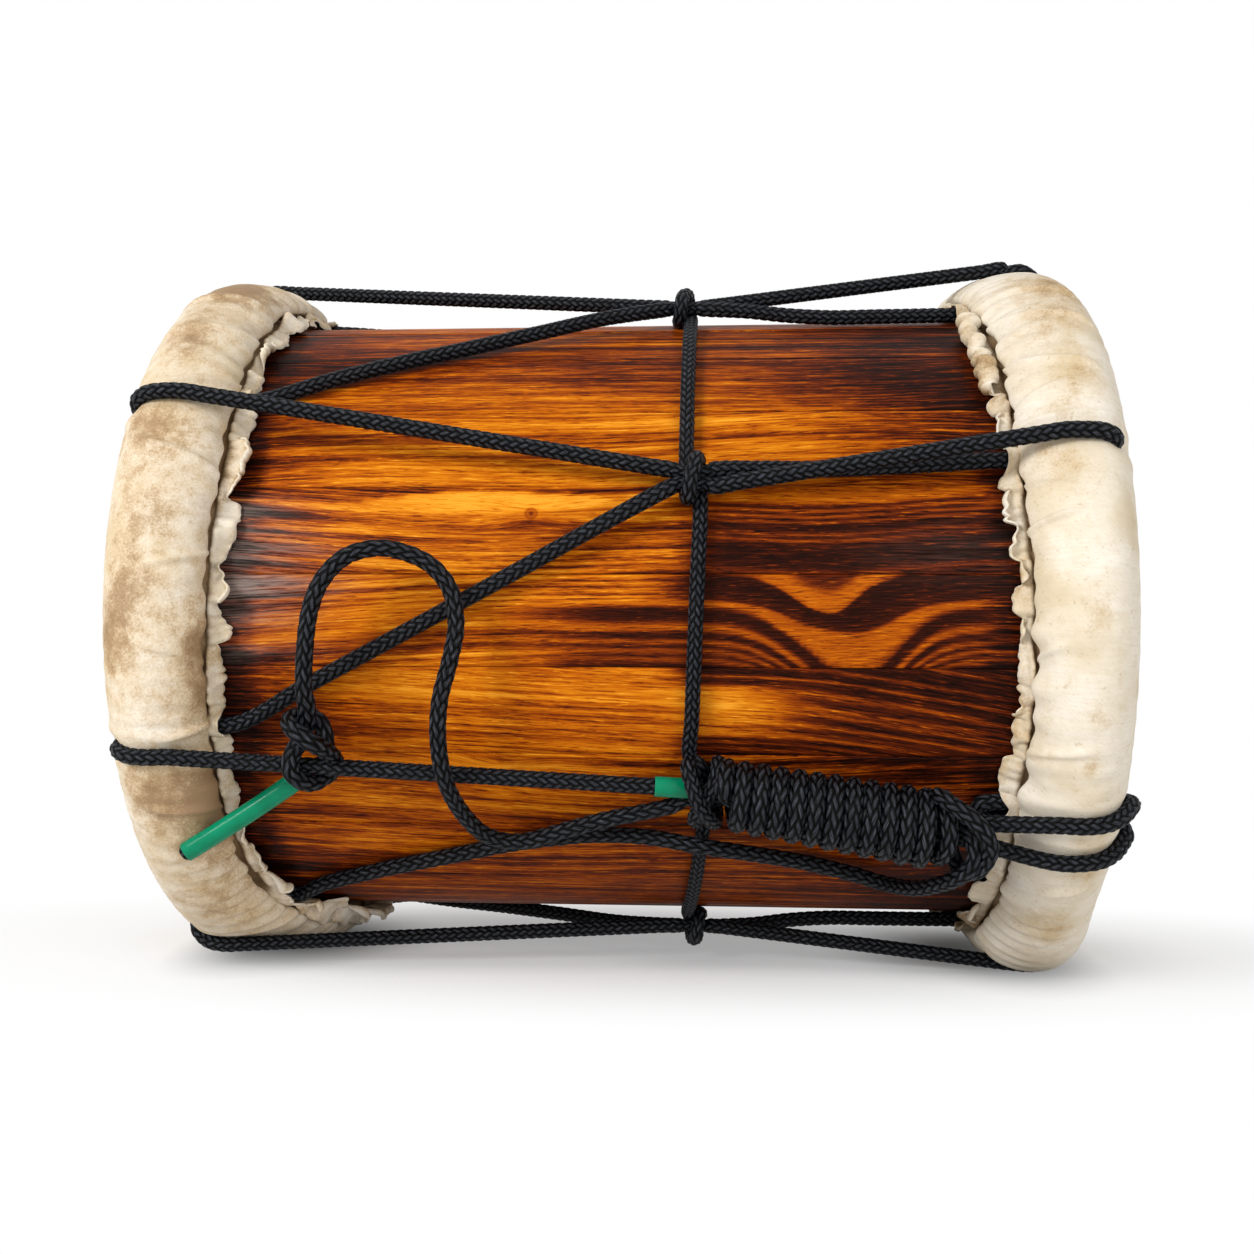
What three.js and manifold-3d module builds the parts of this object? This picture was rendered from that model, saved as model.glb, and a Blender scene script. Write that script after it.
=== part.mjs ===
// A rope-laced dammam drum lying on its side: a coopered shell, two hide heads wrapped round hoops,
// one long lace that draws the hoops together, a belt cord hitched round the lace's pairs of legs,
// and the lace's spare length, wound in a hank on one side and left in a knotted loop on the other.
// Millimetres and degrees. The drum's axis runs along X, its front faces -Y, and it rests on z = 0.
// Angles go round the axis: 0 is the front, 90 the top.

import * as THREE from "three";
import { mergeVertices } from "three/addons/utils/BufferGeometryUtils.js";
import Module from "manifold-3d";

const wasm = await Module();
wasm.setup();

// Shell
const shellDiameter = 350;
const staveLength = 500;
const staveThickness = 13;
const staveCount = 24;
const firstStaveAngle = -2.3;
const seatGap = 0.3; // between pieces that touch

// Heads
const headThickness = 1.6;
const rimHeight = 27; // above the shell
const rimHalfWidth = 24.2;
const rimFold = 4; // hide folded double round the hoop
const hemReach = 12;
const hemLift = 2.2; // above the shell
const hemThickness = 1.8;
const pleatCount = 20;
const pleatDepth = 1.2;
const pleatReach = 2;
const restFlat = 1; // the rims are pressed flat where the drum rests

// Lace
const laceDiameter = 8;
const laceRoom = 0.8; // each side of the lace between hoop and shell
const laceBend = 5.4; // where it turns into its hole
const holeSetback = 2; // its bend's centre inside the hide's inner face
const pinchedLace = 6; // inside a hitch
const hitchAngles = [69, 19.7, -30, -76, -118, -160, -206, -249];
const leftWrapAngles = [86, 31.8, -21.3, -67, -109, -151, -197, -236];
const rightWrapAngles = [72, 24, -30.6, -72.5, -119, -161, -207, -249];
const rightUnderAngles = [70.5, 22.5, -32.1, -82, -120.5, -162.5, -208.5, -250.5];
const underLegLead = 5; // a left under leg leaves this far round from its over leg
const secondWrapAngle = -37.2; // the third right pair goes over the hoop twice
const secondUnderAngle = -35.7;
const hemBightReach = 6; // how far those two show beyond the hem

// Belt
const beltDiameter = 7.4;
const pinchedBelt = 6.5;
const beltX = 34;
const beltLean = 8.6; // the belt's ring stands a little askew
const beltLeanAngle = -25;

// Spare lace: hank, loop, knot and sleeves
const hankTurns = 11;
const hankClear = 2; // between the hitch and the first turn
const hankPitch = 8.8;
const hankStartRadius = 13.3;
const hankEndRadius = 15.6;
const hankStartAngle = -29.2;
const hankEndAngle = -35.4;
const sleeveDiameter = 10;
const sleeveBore = 8.6;
const endSleeveLength = 80;
const endSleeveRecess = 6; // the lace stops this far short of the sleeve's tip
const shortSleeveLength = 14;
const knotX = -146.4;

const shellRadius = shellDiameter / 2;
const headInnerX = staveLength / 2 + seatGap;
const headOuterX = headInnerX + headThickness;
const rimCentreX = headOuterX - rimHalfWidth;
const rimRadius = shellRadius + rimHeight;
const hoopInnerRadius = shellRadius + laceDiameter + 2 * laceRoom;
const axisHeight = rimRadius - restFlat;
const laceRadius = laceDiameter / 2;
const underRadius = shellRadius + laceRoom + laceRadius;
const overOffset = laceRadius + seatGap;
const heldSides = 6; // facets round a cord that is held all the way
const freeSides = 8;

const degrees = THREE.MathUtils.degToRad;
const polar = (x, radius, angle) =>
  new THREE.Vector3(x, -radius * Math.cos(degrees(angle)), radius * Math.sin(degrees(angle)));
const around = (length, radius) => THREE.MathUtils.radToDeg(length / radius);
const lerp = THREE.MathUtils.lerp;
const nearestTurn = (angle, reference) => angle + 360 * Math.round((reference - angle) / 360);

const wood = { color: 0x7a3c10, roughness: 0.38, metalness: 0 };
const cane = { color: 0xa98a58, roughness: 0.7, metalness: 0 };
const hide = { color: 0xdccfae, roughness: 0.75, metalness: 0 };
const braid = { color: 0x1b1c20, roughness: 0.6, metalness: 0 };
const greenPlastic = { color: 0x0e9560, roughness: 0.3, metalness: 0 };

const drum = new THREE.Group();
drum.position.z = axisHeight;

function addMesh(name, geometry, finish) {
  const mesh = new THREE.Mesh(geometry, new THREE.MeshStandardMaterial(finish));
  mesh.name = name;
  drum.add(mesh);
  return mesh;
}

// Joining and cutting
function solidOf(geometry) {
  const bare = new THREE.BufferGeometry();
  bare.setAttribute("position", geometry.getAttribute("position"));
  if (geometry.index) bare.setIndex(geometry.index);
  const merged = mergeVertices(bare, 1e-4);
  return new wasm.Manifold(
    new wasm.Mesh({
      numProp: 3,
      vertProperties: new Float32Array(merged.getAttribute("position").array),
      triVerts: new Uint32Array(merged.index.array),
    }),
  );
}

function geometryOf(solid) {
  const made = solid.getMesh();
  const geometry = new THREE.BufferGeometry();
  geometry.setAttribute("position", new THREE.BufferAttribute(made.vertProperties, 3));
  geometry.setIndex(new THREE.BufferAttribute(made.triVerts, 1));
  return geometry;
}

// A cord is a closed tube through rings; each ring is a point and the cord's radius there.
const ring = (point, radius = laceRadius) => ({ point, radius });

function cordGeometry(rings, sides = heldSides, grow = 0) {
  const count = rings.length;
  const heading = (a, b) => new THREE.Vector3().subVectors(b.point, a.point).normalize();
  const positions = [];
  let normal = null;
  rings.forEach((here, i) => {
    const tangent = new THREE.Vector3();
    if (i > 0) tangent.add(heading(rings[i - 1], here));
    if (i < count - 1) tangent.add(heading(here, rings[i + 1]));
    tangent.normalize();
    if (!normal) {
      const level = Math.abs(tangent.z) < 0.9 ? new THREE.Vector3(0, 0, 1) : new THREE.Vector3(1, 0, 0);
      normal = level;
    }
    normal = normal.clone().addScaledVector(tangent, -normal.dot(tangent)).normalize();
    const binormal = new THREE.Vector3().crossVectors(tangent, normal);
    for (let side = 0; side < sides; side += 1) {
      const turn = (2 * Math.PI * side) / sides;
      const out = here.point
        .clone()
        .addScaledVector(normal, (here.radius + grow) * Math.cos(turn))
        .addScaledVector(binormal, (here.radius + grow) * Math.sin(turn));
      positions.push(out.x, out.y, out.z);
    }
  });
  const faces = [];
  for (let i = 0; i < count - 1; i += 1) {
    for (let side = 0; side < sides; side += 1) {
      const next = (side + 1) % sides;
      const a = i * sides + side;
      const b = i * sides + next;
      faces.push(a, b, a + sides, b, b + sides, a + sides);
    }
  }
  const last = (count - 1) * sides;
  for (let side = 1; side < sides - 1; side += 1) {
    faces.push(0, side + 1, side, last, last + side, last + side + 1);
  }
  const geometry = new THREE.BufferGeometry();
  geometry.setAttribute("position", new THREE.Float32BufferAttribute(positions, 3));
  geometry.setIndex(faces);
  return geometry;
}

// Rings along a smooth curve through chosen points
function smoothRings(points, steps, radius = laceRadius) {
  const curve = new THREE.CatmullRomCurve3(points, false, "centripetal");
  return curve.getSpacedPoints(steps).map((point) => ring(point, radius));
}

// The least gap between a cord's surface and itself, measured on points along it
function leastGap(rings, radius) {
  const curve = new THREE.CatmullRomCurve3(rings.map((r) => r.point));
  curve.arcLengthDivisions = 20 * rings.length;
  const length = curve.getLength();
  const count = Math.ceil(length / (radius / 2));
  const points = curve.getSpacedPoints(count);
  const skip = Math.ceil((count * radius * Math.PI) / length);
  let least = Infinity;
  for (let i = 0; i <= count; i += 1) {
    for (let j = i + skip; j <= count; j += 1) least = Math.min(least, points[i].distanceTo(points[j]));
  }
  return least - 2 * radius;
}

// Shell: staves with radial sides, glued edge to edge
function makeStaves() {
  const step = 360 / staveCount;
  const outer = shellRadius;
  const inner = shellRadius - staveThickness;
  const sideAngle = (radius) => degrees(step / 2 - around(seatGap / 2, radius));
  const front = -Math.PI / 2;
  const section = new THREE.Shape();
  section.absarc(0, 0, outer, front - sideAngle(outer), front + sideAngle(outer), false);
  section.absarc(0, 0, inner, front + sideAngle(inner), front - sideAngle(inner), true);
  section.closePath();
  const geometry = new THREE.ExtrudeGeometry(section, {
    depth: staveLength,
    bevelEnabled: false,
    curveSegments: 2,
  });
  geometry.translate(0, 0, -staveLength / 2);
  geometry.rotateY(Math.PI / 2);
  for (let i = 0; i < staveCount; i += 1) {
    const stave = addMesh("stave_" + String(i + 1).padStart(2, "0"), geometry, wood);
    stave.rotation.x = -degrees(firstStaveAngle + step * i);
  }
}

// A body of revolution about X from a profile of [x, radius] points
function revolve(profile, segments) {
  const points = profile.map(([x, radius]) => new THREE.Vector2(radius, x));
  const geometry = new THREE.LatheGeometry(points, segments);
  geometry.rotateZ(-Math.PI / 2);
  return geometry;
}

// Points on the rim's half ellipse, grown by an offset; 0 is the head's side, 180 the hem's
const rimPoint = (turn, offset = 0) => [
  rimCentreX + (rimHalfWidth + offset) * Math.cos(degrees(turn)),
  shellRadius + (rimHeight + offset) * Math.sin(degrees(turn)),
];

const turnAtRadius = (radius, offset) =>
  THREE.MathUtils.radToDeg(Math.asin((radius - shellRadius) / (rimHeight + offset)));

// Turns at which the rim and the lace over it have their facets, so that they stay parallel
const wrapTurns = [32, 48, 68, 90];
const rimSegments = 2 * pleatCount;

// Turns at which the hoop and the hide round it have theirs
function hoopTurns() {
  const start = turnAtRadius(hoopInnerRadius, -rimFold - seatGap);
  const steps = 5;
  return Array.from({ length: steps + 1 }, (_, i) => lerp(start, 180 - start, i / steps));
}

// Hoop: a D-section ring that the hide is lapped over
function makeHoop(name, turnedRound) {
  const profile = hoopTurns().map((turn) => rimPoint(turn, -rimFold - seatGap));
  profile.push(profile[0]);
  const geometry = revolve(profile.reverse(), rimSegments);
  geometry.rotateZ(turnedRound ? Math.PI : 0);
  addMesh(name, geometry, cane);
}

// Head: one hide, flat over the shell's end, lapped round the hoop and gathered in a pleated hem
function headGeometry(turnedRound) {
  const hemInner = shellRadius + hemLift;
  const hemOuter = hemInner + hemThickness;
  const hemRootX = rimCentreX - rimHalfWidth;
  const hemTipX = hemRootX - hemReach;
  const hemTurn = 180 - turnAtRadius(hemOuter + hemThickness, 0);
  const profile = [[headOuterX, 0]];
  [0, 16, ...wrapTurns, 115, 142, hemTurn].forEach((turn) => profile.push(rimPoint(turn)));
  const tipStart = profile.length + 1;
  profile.push([hemRootX, hemOuter]);
  profile.push([hemTipX, hemOuter], [hemTipX, hemInner]);
  profile.push([hemRootX + hemThickness, hemInner]);
  hoopTurns().toReversed().forEach((turn) => profile.push(rimPoint(turn, -rimFold)));
  profile.push([headInnerX, underRadius], [headInnerX, 0]);

  const geometry = revolve(profile.reverse(), rimSegments);
  const position = geometry.getAttribute("position");
  const tips = [profile.length - 1 - tipStart, profile.length - 2 - tipStart];
  for (let column = 0; column <= rimSegments; column += 1) {
    const sign = column % 2 ? 1 : -1;
    tips.forEach((tip) => {
      const i = column * profile.length + tip;
      const spread = 1 + (sign * pleatDepth) / hemInner;
      const x = position.getX(i) + sign * pleatReach;
      position.setXYZ(i, x, position.getY(i) * spread, position.getZ(i) * spread);
    });
  }
  geometry.rotateZ(turnedRound ? Math.PI : 0);
  return geometry;
}

// What the lace's way through the hide takes out of it, round its bend and under its hem
function holeGeometry(rings) {
  const throughHide = rings.slice(wrapTurns.length);
  const roundCord = (laceRadius + seatGap) / Math.cos(Math.PI / freeSides) - laceRadius;
  return cordGeometry(throughHide, freeSides, roundCord);
}

function makeHead(name, turnedRound, laces) {
  const floorSlab = new THREE.BoxGeometry(2 * headOuterX, 2 * rimRadius, 2 * rimHeight);
  floorSlab.translate(0, 0, -axisHeight - rimHeight);
  let head = solidOf(headGeometry(turnedRound)).subtract(solidOf(floorSlab));
  laces.forEach((rings) => {
    head = head.subtract(solidOf(holeGeometry(rings)));
  });
  addMesh(name, geometryOf(head), hide);
}

// Hitches: where the belt grips each pair of lace legs
const facetRoom = 1.08; // keeps the flats of a faceted turn clear of what it goes round
const hitchTurnRadius = ((pinchedLace + pinchedBelt) / 2 + seatGap) * facetRoom;
const strandOffset = (pinchedLace + seatGap) / 2;
const openStrandOffset = (laceDiameter + 2 * seatGap) / 2;
const hitchRadius = shellRadius + 2 * seatGap + pinchedBelt / 2 + hitchTurnRadius;
const hitchPass = (pinchedBelt + 2 * seatGap) / 2;
const pinchReach = hitchPass + pinchedBelt / 2;
const openReach = pinchReach + pinchedLace / 2;
const hitchCount = hitchAngles.length;
const hitchX = (angle) => beltX + beltLean * Math.cos(degrees(angle - beltLeanAngle));

// A point of a hitch: along the drum, round it and out from the pair's middle
function hitchPoint(index, along, round, out) {
  const angle = hitchAngles[index];
  return polar(hitchX(angle) + along, hitchRadius + out, angle + around(round, hitchRadius));
}

// The pinched end of a lace leg inside its hitch; side is -1 to the left, upper is +1 or -1
function hitchedEnd(index, side, upper) {
  return [
    ring(hitchPoint(index, side * openReach, upper * openStrandOffset, 0)),
    ring(hitchPoint(index, side * pinchReach, upper * strandOffset, 0), pinchedLace / 2),
    ring(hitchPoint(index, (side * seatGap) / 2, upper * strandOffset, 0), pinchedLace / 2),
  ];
}

const hemEndX = rimCentreX - rimHalfWidth - hemReach - pleatReach - 3 * seatGap;

// The lace's way round a hoop, from the top of the rim, over its end and through the hide, to the hem
function wrapRings(side, overAngle, underAngle) {
  const spots = [[rimCentreX - rimHalfWidth / 2, rimRadius + overOffset - 2 * seatGap]];
  wrapTurns.toReversed().forEach((turn) => spots.push(rimPoint(turn, overOffset)));
  const bendX = headInnerX - holeSetback;
  const bendRadius = underRadius + laceBend;
  [5, -40, -90].forEach((turn) =>
    spots.push([
      bendX + laceBend * Math.cos(degrees(turn)),
      bendRadius + laceBend * Math.sin(degrees(turn)),
    ]),
  );
  spots.push([hemEndX, underRadius]);
  const shift = (i) => THREE.MathUtils.smoothstep(i, 4, spots.length - 1);
  return spots.map(([x, radius], i) =>
    ring(polar(side * x, radius, lerp(overAngle, underAngle, shift(i)))),
  );
}

// A leg that lies on the shell from a hoop's hem and lifts into its hitch
function underLeg(from, index, side, upper) {
  const end = hitchedEnd(index, side, upper);
  const target = end[0].point;
  const hitchAngle = nearestTurn(hitchAngles[index], from.angle);
  const targetAngle = hitchAngle + around(upper * openStrandOffset, hitchRadius);
  const steps = 6;
  const rings = [];
  for (let i = 1; i < steps; i += 1) {
    const t = i / steps;
    const lift = THREE.MathUtils.smoothstep(t, 1 / 2, 1);
    const angle = lerp(from.angle, targetAngle, t);
    rings.push(ring(polar(lerp(from.x, target.x, t), lerp(underRadius, hitchRadius, lift), angle)));
  }
  return [...rings, ...end];
}

const leftWraps = leftWrapAngles.map((angle) => wrapRings(-1, angle, angle + underLegLead));
const rightWraps = rightWrapAngles.map((angle, i) => wrapRings(1, angle, rightUnderAngles[i]));

function makeLeftLaces() {
  leftWrapAngles.forEach((angle, i) => {
    const upperHitch = (i + hitchCount - 1) % hitchCount;
    const rings = [...hitchedEnd(i, -1, 1).reverse(), ...leftWraps[i]];
    // The fourth run's under leg is the lace's second end, which goes on as the lead to the hank.
    if (i !== 3) {
      const from = { x: -hemEndX, angle: angle + underLegLead };
      rings.push(...underLeg(from, upperHitch, -1, -1));
    }
    addMesh("lace_left_" + (i + 1), cordGeometry(rings), braid);
  });
}

// The third right run goes through the hank and twice over the hoop, with a bight under the hem.
const thirdHitch = 2;
const hankStartX = hitchX(hitchAngles[thirdHitch]) + pinchReach + laceRadius + hankClear;
const hankEndX = hankStartX + hankTurns * hankPitch;
const hankStartAxis = shellRadius + 2 * seatGap + laceRadius + hankStartRadius;
const hankEndAxis = hankStartAxis + hankEndRadius - hankStartRadius;
const coreSpread = (laceDiameter + seatGap) / Math.sqrt(3);

// A point of the hank: along the drum, round it and out from the hank's own axis
function hankPoint(x, round, out) {
  const t = (x - hankStartX) / (hankEndX - hankStartX);
  const axis = lerp(hankStartAxis, hankEndAxis, t);
  return polar(x, axis + out, lerp(hankStartAngle, hankEndAngle, t) + around(round, axis));
}

// A point by the hank's right end: along the drum, up and to the front
const hankEnd = polar(hankEndX, hankEndAxis, hankEndAngle);
const nearHankEnd = ([along, up, front]) => hankEnd.clone().add(new THREE.Vector3(along, -front, up));

function coreLeg(upper) {
  const half = (laceDiameter + seatGap) / 2;
  const ends = [hankStartX - hankClear / 2, hankEndX + 1.5 * laceDiameter];
  return ends.map((x) => ring(hankPoint(x, upper * half, -coreSpread / 2)));
}

function rightThirdRun() {
  const first = rightWraps[thirdHitch];
  const second = wrapRings(1, secondWrapAngle, secondUnderAngle);
  const turnX = hemEndX - hemBightReach;
  const turnAngle = (rightWrapAngles[thirdHitch] + secondWrapAngle) / 2;
  const turnHalf = around(laceRadius, underRadius);
  const rings = [
    ...hitchedEnd(thirdHitch, 1, 1).slice(1).reverse(),
    ...coreLeg(1),
    ...first,
    ring(polar(turnX, underRadius, turnAngle + turnHalf)),
    ring(polar(turnX, underRadius, turnAngle - turnHalf)),
    ...second.toReversed(),
    ...coreLeg(-1).reverse(),
    ...hitchedEnd(thirdHitch, 1, -1).slice(1),
  ];
  return { second, rings };
}

const thirdRun = rightThirdRun();

function makeRightLaces() {
  rightUnderAngles.forEach((angle, i) => {
    let rings = thirdRun.rings;
    if (i !== thirdHitch) {
      const leg = underLeg({ x: hemEndX, angle }, i, 1, -1);
      rings = [...hitchedEnd(i, 1, 1).reverse(), ...rightWraps[i], ...leg];
    }
    addMesh("lace_right_" + (i + 1), cordGeometry(rings), braid);
  });
}

// Belt: each length leaves one hitch, lies on the shell and takes a round turn about the next pair
function makeBelt() {
  const onShell = shellRadius + seatGap + beltDiameter / 2;
  const pinched = pinchedBelt / 2;
  const inside = -hitchTurnRadius;
  const stretchSteps = 6;
  for (let i = 0; i < hitchCount; i += 1) {
    const next = (i + 1) % hitchCount;
    const rings = [
      ring(hitchPoint(i, hitchPass, -seatGap, inside), pinched),
      ring(hitchPoint(i, hitchPass, -hitchTurnRadius, inside), pinched),
    ];
    const startAngle = hitchAngles[i];
    const endAngle = nearestTurn(hitchAngles[next], startAngle);
    const clearAngle = around(hitchTurnRadius + strandOffset + beltDiameter, hitchRadius);
    for (let k = 0; k <= stretchSteps; k += 1) {
      const t = k / stretchSteps;
      const x = lerp(hitchX(startAngle) + hitchPass, hitchX(endAngle) - hitchPass, t);
      const angle = lerp(startAngle - clearAngle, endAngle + clearAngle, t);
      rings.push(ring(polar(x, onShell, angle), beltDiameter / 2));
    }
    const turnSteps = 4;
    rings.push(ring(hitchPoint(next, -hitchPass, strandOffset, inside), pinched));
    for (let k = 0; k <= turnSteps; k += 1) {
      const turn = degrees(-90 - (180 * k) / turnSteps);
      const along = lerp(-hitchPass, -hitchPass * 0.3, k / turnSteps);
      const round = -strandOffset + hitchTurnRadius * Math.cos(turn);
      rings.push(ring(hitchPoint(next, along, round, hitchTurnRadius * Math.sin(turn)), pinched));
    }
    for (let k = 0; k <= turnSteps; k += 1) {
      const turn = degrees(90 - (180 * k) / turnSteps);
      const along = lerp(hitchPass * 0.3, hitchPass, k / turnSteps);
      const round = strandOffset + hitchTurnRadius * Math.cos(turn);
      rings.push(ring(hitchPoint(next, along, round, hitchTurnRadius * Math.sin(turn)), pinched));
    }
    rings.push(ring(hitchPoint(next, hitchPass, 0, inside), pinched));
    addMesh("belt_" + (next + 1), cordGeometry(rings), braid);
  }
}

// Hank: the lace's second end runs along the core, turns out and is wound back over it
function makeHank() {
  const stepsPerTurn = 18;
  const rings = [
    ring(hankPoint(hankEndX + laceRadius, 0, coreSpread)),
    ring(hankPoint(hankStartX + laceDiameter, 0, coreSpread)),
    ring(hankPoint(hankStartX + laceDiameter * 0.45, laceRadius * 0.3, coreSpread + 0.4)),
    ring(hankPoint(hankStartX + laceDiameter * 0.05, laceRadius * 1.1, coreSpread + 1.6)),
  ];
  const startTurn = 0.36;
  const steps = Math.round((hankTurns + 0.9 - startTurn) * stepsPerTurn);
  for (let i = 0; i <= steps; i += 1) {
    const turns = startTurn + i / stepsPerTurn;
    const turn = 2 * Math.PI * turns;
    const radius = lerp(hankStartRadius, hankEndRadius, turns / hankTurns);
    const x = hankStartX + hankPitch * (turns - startTurn);
    rings.push(ring(hankPoint(x, -radius * Math.cos(turn), radius * Math.sin(turn))));
  }
  // One slack turn and a bight thrown over it
  const bight = [
    [7.2, -14.5, -3.5],
    [9, -13, 6],
    [10.5, -7.5, 12],
    [11, 0, 14],
    [10.5, 7, 12],
    [10.6, 13, 5.5],
    [11.6, 14, -3],
    [13, 8.5, -11.5],
    [14, -2, -14.8],
    [16, -13, -11.5],
    [19.5, -21, -4],
    [24.5, -20.5, 5],
    [28.5, -14.5, 12],
    [29.5, -7, 17],
    [26, 0.5, 20.5],
    [19.5, 7.5, 21],
    [12, 14, 19],
    [6.5, 18.5, 13.5],
    [6.3, 22.4, 5],
    [7.8, 22.9, -2.5],
  ].map(nearHankEnd);
  const last = rings[rings.length - 1].point;
  rings.push(...smoothRings([last, ...bight], 30).slice(1));
  const gap = leastGap(rings, laceRadius);
  console.log("hank: least gap to itself " + gap.toFixed(2) + " mm");
  addMesh("hank", cordGeometry(rings), braid);
}

// Free lengths: points are x, height above the shell to the cord's middle, and angle.
const shellPoint = ([x, lift, angle]) => polar(x, shellRadius + lift, angle);

function makeHankLead() {
  const route = [
    [-165, 4.5, -57.2],
    [-147, 4.5, -54],
    [-117, 4.5, -49.8],
    [-88.5, 4.5, -46.6],
    [-60.8, 4.5, -43.6],
    [-34, 4.5, -41.5],
    [-8, 5.2, -40.2],
    [18, 9, -39.9],
    [43.6, 12.6, -41.2],
    [69, 9.5, -44.6],
    [95.5, 6, -48.6],
    [122, 5.5, -52],
    [140, 7.5, -53.2],
  ].map(shellPoint);
  const [inner, end] = leftWraps[3].slice(-2).map((spot) => spot.point);
  const heading = new THREE.Vector3().subVectors(end, inner).normalize();
  const start = end.clone().addScaledVector(heading, seatGap);
  const away = end.clone().addScaledVector(heading, laceDiameter);
  const entry = [
    [1, -30.5, -30],
    [9, -25.5, -10],
    [15, -20.5, 5],
    [18.5, -15, 11],
    [19.6, -10.5, 11],
    [18.5, -5, 7],
  ].map(nearHankEnd);
  entry.push(hankPoint(hankEndX + laceRadius + laceDiameter, 0, coreSpread));
  const joint = hankPoint(hankEndX + laceRadius + seatGap, 0, coreSpread);
  const rings = [ring(start), ...smoothRings([away, ...route, ...entry], 44), ring(joint)];
  addMesh("hank_lead", cordGeometry(rings, freeSides), braid);
}

// Knot: tied round the third left run's over leg, whose straight stretch carries it
const knotCarrier = leftWraps[2][0].point;
const knotHitch = hitchedEnd(thirdHitch, -1, 1)[0].point;
const knotShare = (knotX - knotCarrier.x) / (knotHitch.x - knotCarrier.x);
const knotCentre = knotCarrier.clone().lerp(knotHitch, knotShare);
const knotRadius = Math.hypot(knotCentre.y, knotCentre.z);
const knotAngle = THREE.MathUtils.radToDeg(Math.atan2(knotCentre.z, -knotCentre.y));
const knotPoint = ([along, round, out]) =>
  polar(knotX + along, knotRadius + out, knotAngle + around(round, knotRadius));

const knotTop = [2, 26, 6]; // where the loop comes down into it
const sleeveRoot = knotPoint([0.5, -8.5, -18]);
const sleeveTip = polar(-214.6, rimRadius + 2.6, -37.2);

function makeKnot() {
  const route = [
    knotTop,
    [2, 17, 8],
    [3, 8.5, 9.5],
    [5, 0, 10],
    [4, -8.5, 7],
    [-1, -12.5, 0],
    [-6, -9, -7],
    [-8, 0, -9.7],
    [-9.5, 9, -6],
    [-11.5, 15.5, 2],
    [-8.5, 17.5, 11],
    [0, 15, 18],
    [8, 9, 17.5],
    [14, -1.5, 11.5],
    [14.5, -9.5, 4],
    [12.5, -10.5, -5.5],
    [8.5, -9.5, -13],
    [5, -8.8, -16.5],
  ].map(knotPoint);
  const rings = smoothRings(route, 38);
  console.log("loop_knot: least gap to itself " + leastGap(rings, laceRadius).toFixed(2) + " mm");
  addMesh("loop_knot", cordGeometry(rings, freeSides), braid);
}

function makeLoopCord() {
  const start = hitchedEnd(thirdHitch, -1, -1).reverse().slice(0, 2);
  const route = [
    [21.4, 12, -32.6],
    [-6, 14, -34.4],
    [-27, 15, -36.5],
    [-47.6, 15.5, -38.5],
    [-62.5, 17.5, -37],
    [-72.6, 22, -31.8],
    [-79, 28.8, -24.6],
    [-80.8, 29.5, -18.4],
    [-79.6, 26, -13],
    [-75, 22, -7.7],
    [-72.3, 20, -2.8],
    [-75.3, 20, 2.1],
    [-85, 21, 5.6],
    [-99.3, 23, 7.4],
    [-110.9, 25, 7.7],
    [-124.7, 27, 6.4],
    [-134.9, 29, 3.2],
    [-140.2, 30, -0.8],
    [-142.6, 31, -6.1],
    [-143.6, 31.2, -11.4],
  ].map(shellPoint);
  const [along, round, out] = knotTop;
  const knotSlope = 0.22; // how the loop leans in as it comes down
  const [above, top] = [laceDiameter, 2 * seatGap].map((rise) =>
    knotPoint([along, round + rise, out - rise * knotSlope]),
  );
  const open = hitchPoint(thirdHitch, -openReach - 2, -openStrandOffset - 2, 0);
  const rings = [...start, ...smoothRings([open, ...route, above, top], 44)];
  addMesh("loop_cord", cordGeometry(rings, freeSides), braid);
}

// A plastic sleeve: a short open tube along a straight line
function sleeveGeometry(from, to) {
  const length = from.distanceTo(to);
  const profile = [
    [sleeveBore / 2, 0],
    [sleeveDiameter / 2, 0],
    [sleeveDiameter / 2, length],
    [sleeveBore / 2, length],
    [sleeveBore / 2, 0],
  ].map(([radius, along]) => new THREE.Vector2(radius, along));
  const geometry = new THREE.LatheGeometry(profile, 12);
  const heading = new THREE.Vector3().subVectors(to, from).normalize();
  geometry.applyQuaternion(
    new THREE.Quaternion().setFromUnitVectors(new THREE.Vector3(0, 1, 0), heading),
  );
  geometry.translate(from.x, from.y, from.z);
  return geometry;
}

function makeSleeves() {
  const along = (from, to, distance) => from.clone().lerp(to, distance / from.distanceTo(to));
  const endStart = along(sleeveRoot, sleeveTip, laceRadius);
  const endTip = along(endStart, sleeveTip, endSleeveLength);
  addMesh("end_sleeve", sleeveGeometry(endStart, endTip), greenPlastic);
  // The lace's first end, inside the sleeve, rounded where it bends out of the knot
  const tail = [-0.8, -0.45, 0, 1].map((share) =>
    ring(
      along(sleeveRoot, sleeveTip, laceRadius * share),
      laceRadius * Math.sqrt(1 - Math.min(share, 0) ** 2),
    ),
  );
  tail.push(ring(along(endTip, sleeveRoot, endSleeveRecess)));
  addMesh("lace_end", cordGeometry(tail, freeSides), braid);

  const carrier = hitchedEnd(thirdHitch, -1, 1)[0].point;
  const shortEnd = along(carrier, knotCarrier, 5 * seatGap);
  const shortStart = along(shortEnd, knotCarrier, shortSleeveLength);
  addMesh("short_sleeve", sleeveGeometry(shortStart, shortEnd), greenPlastic);
}

makeStaves();
makeHoop("hoop_left", true);
makeHoop("hoop_right", false);
makeHead("head_left", true, leftWraps);
makeHead("head_right", false, [...rightWraps, thirdRun.second]);
makeLeftLaces();
makeRightLaces();
makeBelt();
makeHank();
makeHankLead();
makeLoopCord();
makeKnot();
makeSleeves();

const root = new THREE.Group();
root.add(drum);
export default root;
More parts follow.
